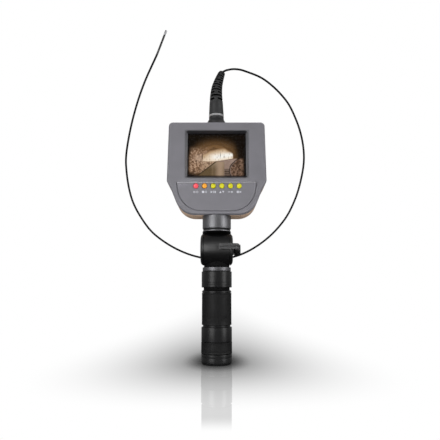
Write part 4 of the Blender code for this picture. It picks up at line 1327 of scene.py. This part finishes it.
def make_probe_nut():
    """A nut with a knurled upper part and a plain foot that flares onto the head."""
    bottom, top, foot = turned_size("probe_nut")
    radius = 0.0094
    cavity, cavity_top = SOCKET_RADIUS + 0.0004, 0.2997
    per_cell, around, pitch = 4, 36, 0.0016
    knurl_bottom, knurl_top = bottom + 0.0095, top - 0.0004
    count = int((knurl_top - knurl_bottom) / pitch * per_cell)
    upper = [(0, top, 0), (radius, top, 0.0004), (radius, knurl_top, 0)]
    lower = [(radius, knurl_bottom, 0), (radius, bottom + 0.0093, 0.0012), (foot, bottom + 0.0057, 0.0015),
             (foot, bottom, 0.0004), (cavity, bottom, 0), (cavity, cavity_top, 0), (0, cavity_top, 0)]
    side = [(radius, knurl_top - (knurl_top - knurl_bottom) * i / count) for i in range(1, count)]
    profile = arcs(upper, 4) + side + arcs(lower, 6)
    relief = knurl(around, pitch, 0.00035, knurl_bottom - 1e-6, knurl_top + 1e-6, pitch)
    nut = lathe("probe_nut_shown", profile, nut_plastic(), around * per_cell, closed=False, relief=relief)
    show(turn_to(nut, Matrix.Translation((PROBE_X, 0, 0))), "probe_nut", "probe_nut")
    turned_ring("probe_ring", ring_plastic(), "head", 0.0020, axis_x=PROBE_X)


# ---------------------------------------------------------------- head
def screw_places():
    return [(side * x, z) for x, z in ((0.0510, 0.2790), (0.0440, 0.1990)) for side in (-1, 1)]


def button_places():
    return [BUTTON_ROW_X + BUTTON_PITCH * (index - 2.5) for index in range(6)]


def pin(low, high, radius, steps=32):
    """A plain round cutter or post along Z."""
    return lathe("pin", [(0, high), (radius, high), (radius, low), (0, low)], steps=steps, closed=False)


def flared_pin(surface, floor, radius, lip):
    """A round cutter for a hole in a front face, which leaves the hole's rim rounded."""
    profile = [(0, surface - 0.002), (radius + lip, surface - 0.002)]
    profile += [(radius + gap, depth) for depth, gap in rounded_edges(surface, floor, lip, steps=4)]
    return lathe("pin", profile + [(0, floor)], closed=False, steps=48)


def make_front_shell():
    """The grey front half, with openings for the display, the keypad, the keys and the neck."""
    head = mirrored(HEAD_CORNERS)
    shell = slab("front_shell_shown", head, rounded_edges(HEAD_FRONT, PARTING, SHELL_EDGE, 0.0003))
    hollow = slab("hollow", inset(head, WALL), [(HEAD_FRONT + WALL, 0.0), (PARTING + 0.01, 0.0)])
    combine(shell, hollow)
    combine(shell, lipped_cutter(rectangle(*SCREEN_OPENING, SCREEN_CENTRE_Z, 0.0015), HEAD_FRONT,
                                 HEAD_FRONT + 0.006, 0.0004))
    top = PANEL_CORNERS[0][1] - 0.0002
    round_panel = inset(mirrored(PANEL_CORNERS), -PANEL_GROOVE)
    outline = [(x, min(z, top), radius) for x, z, radius in round_panel]
    combine(shell, lipped_cutter(outline, HEAD_FRONT, HEAD_FRONT + PANEL_DEPTH, 0.0003))
    combine(shell, pin(*SPIGOT_HOLE, steps=64))
    for x in button_places():
        hole = pin(HEAD_FRONT - 0.002, HEAD_FRONT + 0.004, BUTTON_RADIUS + 0.0004)
        combine(shell, along_y(hole, x, BUTTON_Z))
    show(settle(shell, grey_plastic()), "head", "front_shell")


def make_rear_shell():
    """The tan rear half, with a hole for the probe and four posts for the case screws."""
    seam = PARTING + 0.0011
    head = mirrored(HEAD_CORNERS)
    shell = slab("rear_shell_shown", head, rounded_edges(seam, HEAD_BACK, 0.0003, SHELL_EDGE))
    hollow = slab("hollow", inset(head, WALL), [(seam - 0.01, 0.0), (HEAD_BACK - WALL, 0.0)])
    combine(shell, hollow)
    combine(shell, pin(*SPIGOT_HOLE, steps=64))
    probe_hole = pin(0.284, 0.296, SOCKET_RADIUS + GAP)
    combine(shell, turn_to(probe_hole, Matrix.Translation((PROBE_X, 0, 0))))
    post, hole, sunk, rim = 0.0044, 0.0019, 0.0032, 0.0004
    counterbore = [(0, HEAD_BACK + 0.001), (sunk + rim, HEAD_BACK + 0.001), (sunk + rim, HEAD_BACK),
                   (sunk + rim * 0.3, HEAD_BACK - rim * 0.3), (sunk, HEAD_BACK - rim),
                   (sunk, HEAD_BACK - 0.0032), (0, HEAD_BACK - 0.0032)]
    for x, z in screw_places():
        combine(shell, along_y(pin(seam + 0.0010, HEAD_BACK - WALL / 2, post), x, z), "UNION")
        combine(shell, along_y(pin(seam - 0.001, HEAD_BACK - 0.0010, hole), x, z))
        combine(shell, along_y(lathe("counterbore", counterbore, closed=False, steps=48), x, z))
    show(settle(shell, tan_plastic()), "head", "rear_shell")


def make_case_screws():
    """Socket-head screws, sunk in the rear shell."""
    top, head, shank = HEAD_BACK - 0.0008, 0.0028, 0.0014
    corners = [(0, top, 0), (head, top, 0.0005), (head, top - 0.0021, 0), (shank, top - 0.0021, 0),
               (shank, SCREW_TIP, 0.0002), (0, SCREW_TIP, 0)]
    for index, (x, z) in enumerate(screw_places(), start=1):
        screw = along_y(lathe(f"case_screw_{index}_shown", arcs(corners, 4), closed=False, steps=48), x, z)
        combine(screw, along_y(pin(top - 0.0012, top + 0.001, 0.0012, 6), x, z))
        show(settle(screw, dark_metal()), "head", f"case_screw_{index}")


def make_keypad():
    """The panel below the screen, with a groove round it and a fine slope along its top edge."""
    front, back = HEAD_FRONT + 0.0001, HEAD_FRONT + PANEL_DEPTH - GAP
    panel = slab("keypad_panel_shown", mirrored(PANEL_CORNERS), rounded_edges(front, back, 0.0003))
    for x in button_places():
        hole = flared_pin(front, back + 0.001, BUTTON_RADIUS + 0.0004, 0.00025)
        combine(panel, along_y(hole, x, BUTTON_Z))
    top = PANEL_CORNERS[0][1]
    lean = Matrix.Rotation(math.radians(-KEYPAD_SLOPE), 4, "X")
    cutter = turn_to(block("above_slope", (-0.06, -0.002, 0.0), (0.06, 0.0, 0.003)), lean)
    combine(panel, turn_to(cutter, Matrix.Translation((0, front, top - 0.0008))))
    settle(panel, grey_plastic())
    panel.data.materials.append(painted_highlight_grey())
    # The sloping faces along the top edge take the pale grey as a painted highlight.
    for face in panel.data.polygons:
        sloping = face.normal.y < -0.5 and face.normal.z > 0.5
        face.material_index = int(sloping and face.center.z > top - 0.001)
    show(panel, "head", "keypad_panel")


def make_buttons():
    """Six domed keys: one red, one orange and four yellow."""
    colours = [("button_red", (0.98, 0.10, 0.13)), ("button_orange", (0.86, 0.36, 0.03))]
    colours += [("button_yellow", (0.66, 0.62, 0.012))] * 4
    paints = {name: button_plastic(name, colour) for name, colour in dict(colours).items()}
    face, rim, stem_end = HEAD_FRONT - 0.0012, HEAD_FRONT - 0.0001, HEAD_FRONT + 0.0034
    for index, (x, (colour, _)) in enumerate(zip(button_places(), colours), start=1):
        dome = []
        for step in range(11):
            turn = math.pi / 2 * step / 10
            dome.append((BUTTON_RADIUS * math.sin(turn), rim - (rim - face) * math.cos(turn)))
        profile = dome + [(BUTTON_RADIUS, stem_end), (0, stem_end)]
        key = lathe(f"button_{index}_shown", profile, paints[colour], steps=48, closed=False)
        show(along_y(key, x, BUTTON_Z), f"button_{index}", f"button_{index}")


SIGN_LINE = 0.17                # the thickness of a sign's lines, as a share of its size


def box_patch(left, bottom, right, top):
    """An upright rectangle in a square of side 1."""
    return [(left, bottom), (right, bottom), (right, top), (left, top)]


def arc_patch(start, end):
    """A round line between two angles in degrees, in a square of side 1."""
    steps = 16
    turns = [math.radians(start + (end - start) * i / steps) for i in range(steps + 1)]
    outer = [(math.cos(turn) / 2, math.sin(turn) / 2) for turn in turns]
    inner = [(x * (1 - 2 * SIGN_LINE), z * (1 - 2 * SIGN_LINE)) for x, z in outer]
    return outer + inner[::-1]


# Plain signs for the keys, each as patches in a square of side 1 about its middle.
BAR = box_patch(-0.5, -SIGN_LINE, 0.5, SIGN_LINE)
SIGNS = {
    "power": [arc_patch(120, 420), box_patch(-SIGN_LINE / 2, 0, SIGN_LINE / 2, 0.5)],
    "ring": [arc_patch(0, 350)],
    "right": [[(-0.5, -0.5), (0.5, 0), (-0.5, 0.5)]],
    "up": [[(-0.5, -0.5), (0.5, -0.5), (0, 0.5)]],
    "down": [[(-0.5, 0.5), (0, -0.5), (0.5, 0.5)]],
    "square": [box_patch(-0.5, -0.5, 0.5, 0.5)],
    "bars": [box_patch(-0.5, -0.5, 2 * SIGN_LINE - 0.5, 0.5), box_patch(0.5 - 2 * SIGN_LINE, -0.5, 0.5, 0.5)],
    "minus": [BAR],
    "plus": [BAR, box_patch(-SIGN_LINE, SIGN_LINE, SIGN_LINE, 0.5),
             box_patch(-SIGN_LINE, -0.5, SIGN_LINE, -SIGN_LINE)],
}
# The pair of signs below each key, from left to right.
SIGN_PAIRS = (("power", "ring"), ("square", "ring"), ("right", "bars"), ("up", "down"), ("minus", "plus"),
              ("square", "right"))


def flat_mark(shape, points):
    """One printed patch, as a thin raised tile on the keypad panel."""
    front = HEAD_FRONT + 0.0001 - MARK_DEPTH / 2
    near = [shape.verts.new((x, front, z)) for x, z in points]
    far = [shape.verts.new((x, front + MARK_DEPTH, z)) for x, z in points]
    connect(shape, near, far)
    shape.faces.new(near)
    shape.faces.new(far)


def make_marks():
    """A pair of plain signs printed below each key, in an ink that isn't one of the record's finishes."""
    ink = mark_ink()
    for index, (x, pair) in enumerate(zip(button_places(), SIGN_PAIRS), start=1):
        shape = bmesh.new()
        for side, kind in zip((-0.5, 0.5), pair):
            middle = Vector((x + side * MARKS_APART, MARK_Z))
            for patch in SIGNS[kind]:
                flat_mark(shape, [middle + Vector(point) * MARK_SIZE for point in patch])
        mark = new_object(f"button_mark_{index}", shape, ink, sharp=10)
        show(mark, "head")


def make_screen():
    """The sloping bezel round the display, behind a thin clear window."""
    width, height = (side - 2 * GAP for side in SCREEN_OPENING)
    front, back = HEAD_FRONT + 0.0002, HEAD_FRONT + SCREEN_RECESS
    outline = rectangle(width, height, SCREEN_CENTRE_Z, 0.0012)
    bezel = slab("screen_bezel_shown", outline, [(front, 0), (back, 0)])
    slope = 0.0021
    shape_corners = inset(rectangle(*SCREEN_PICTURE, SCREEN_CENTRE_Z, 0.0012), -slope)
    funnel = [(front - 0.001, -0.0004), (front, -0.0004), (front + 0.0003, 0.0), (back - 0.0002, slope),
              (back + 0.001, slope)]
    combine(bezel, slab("funnel", shape_corners, funnel))
    show(settle(bezel, bezel_plastic()), "head", "screen_bezel")
    window = slab("screen_window_shown", rectangle(*SCREEN_WINDOW, SCREEN_CENTRE_Z, 0.001),
                  rounded_edges(back + GAP, back + 0.0013, 0.0002), clear_glass())
    show(window, "head", "screen_window")


# ---------------------------------------------------------------- the CAD nodes that stay
def paint_frame():
    """Finishes for the CAD nodes that are shown as they are, most of them inside the object."""
    finishes = (
        (steel(), ("tail_spring", "friction_disc_left", "friction_disc_right", "spring_washer",
                   "spindle_nut", "neck_nut", "display_tray")),
        (seal_rubber(), ("tail_seal", "shell_gasket", "keypad_rubber")),
        (inner_plastic(), ("battery_sleeve", "video_chip")),
        (board_green(), ("keypad_board", "main_board")),
        (satin_metal(), ("probe_socket",)),
        (socket_plastic(), ("ribbon_socket",)),
        (cell_wrap(), ("battery_cell",)),
        (brass(), ("contact_plate",)),
        (pipe_picture(), ("display_panel",)),
    )
    for material, nodes in finishes:
        for name in nodes:
            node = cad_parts[name]
            node.data.materials.clear()
            node.data.materials.append(material)


def build_all():
    make_camera()
    make_probe()
    make_strain_relief()
    make_lights()
    make_world()
    make_floor()
    make_handle()
    make_elbow_barrel()
    make_yoke()
    make_bolt()
    make_lever()
    make_neck()
    make_probe_nut()
    make_front_shell()
    make_rear_shell()
    make_case_screws()
    make_screen()
    make_keypad()
    make_buttons()
    make_marks()
    paint_frame()
    bpy.context.scene.view_settings.view_transform = "Standard"


build_all()
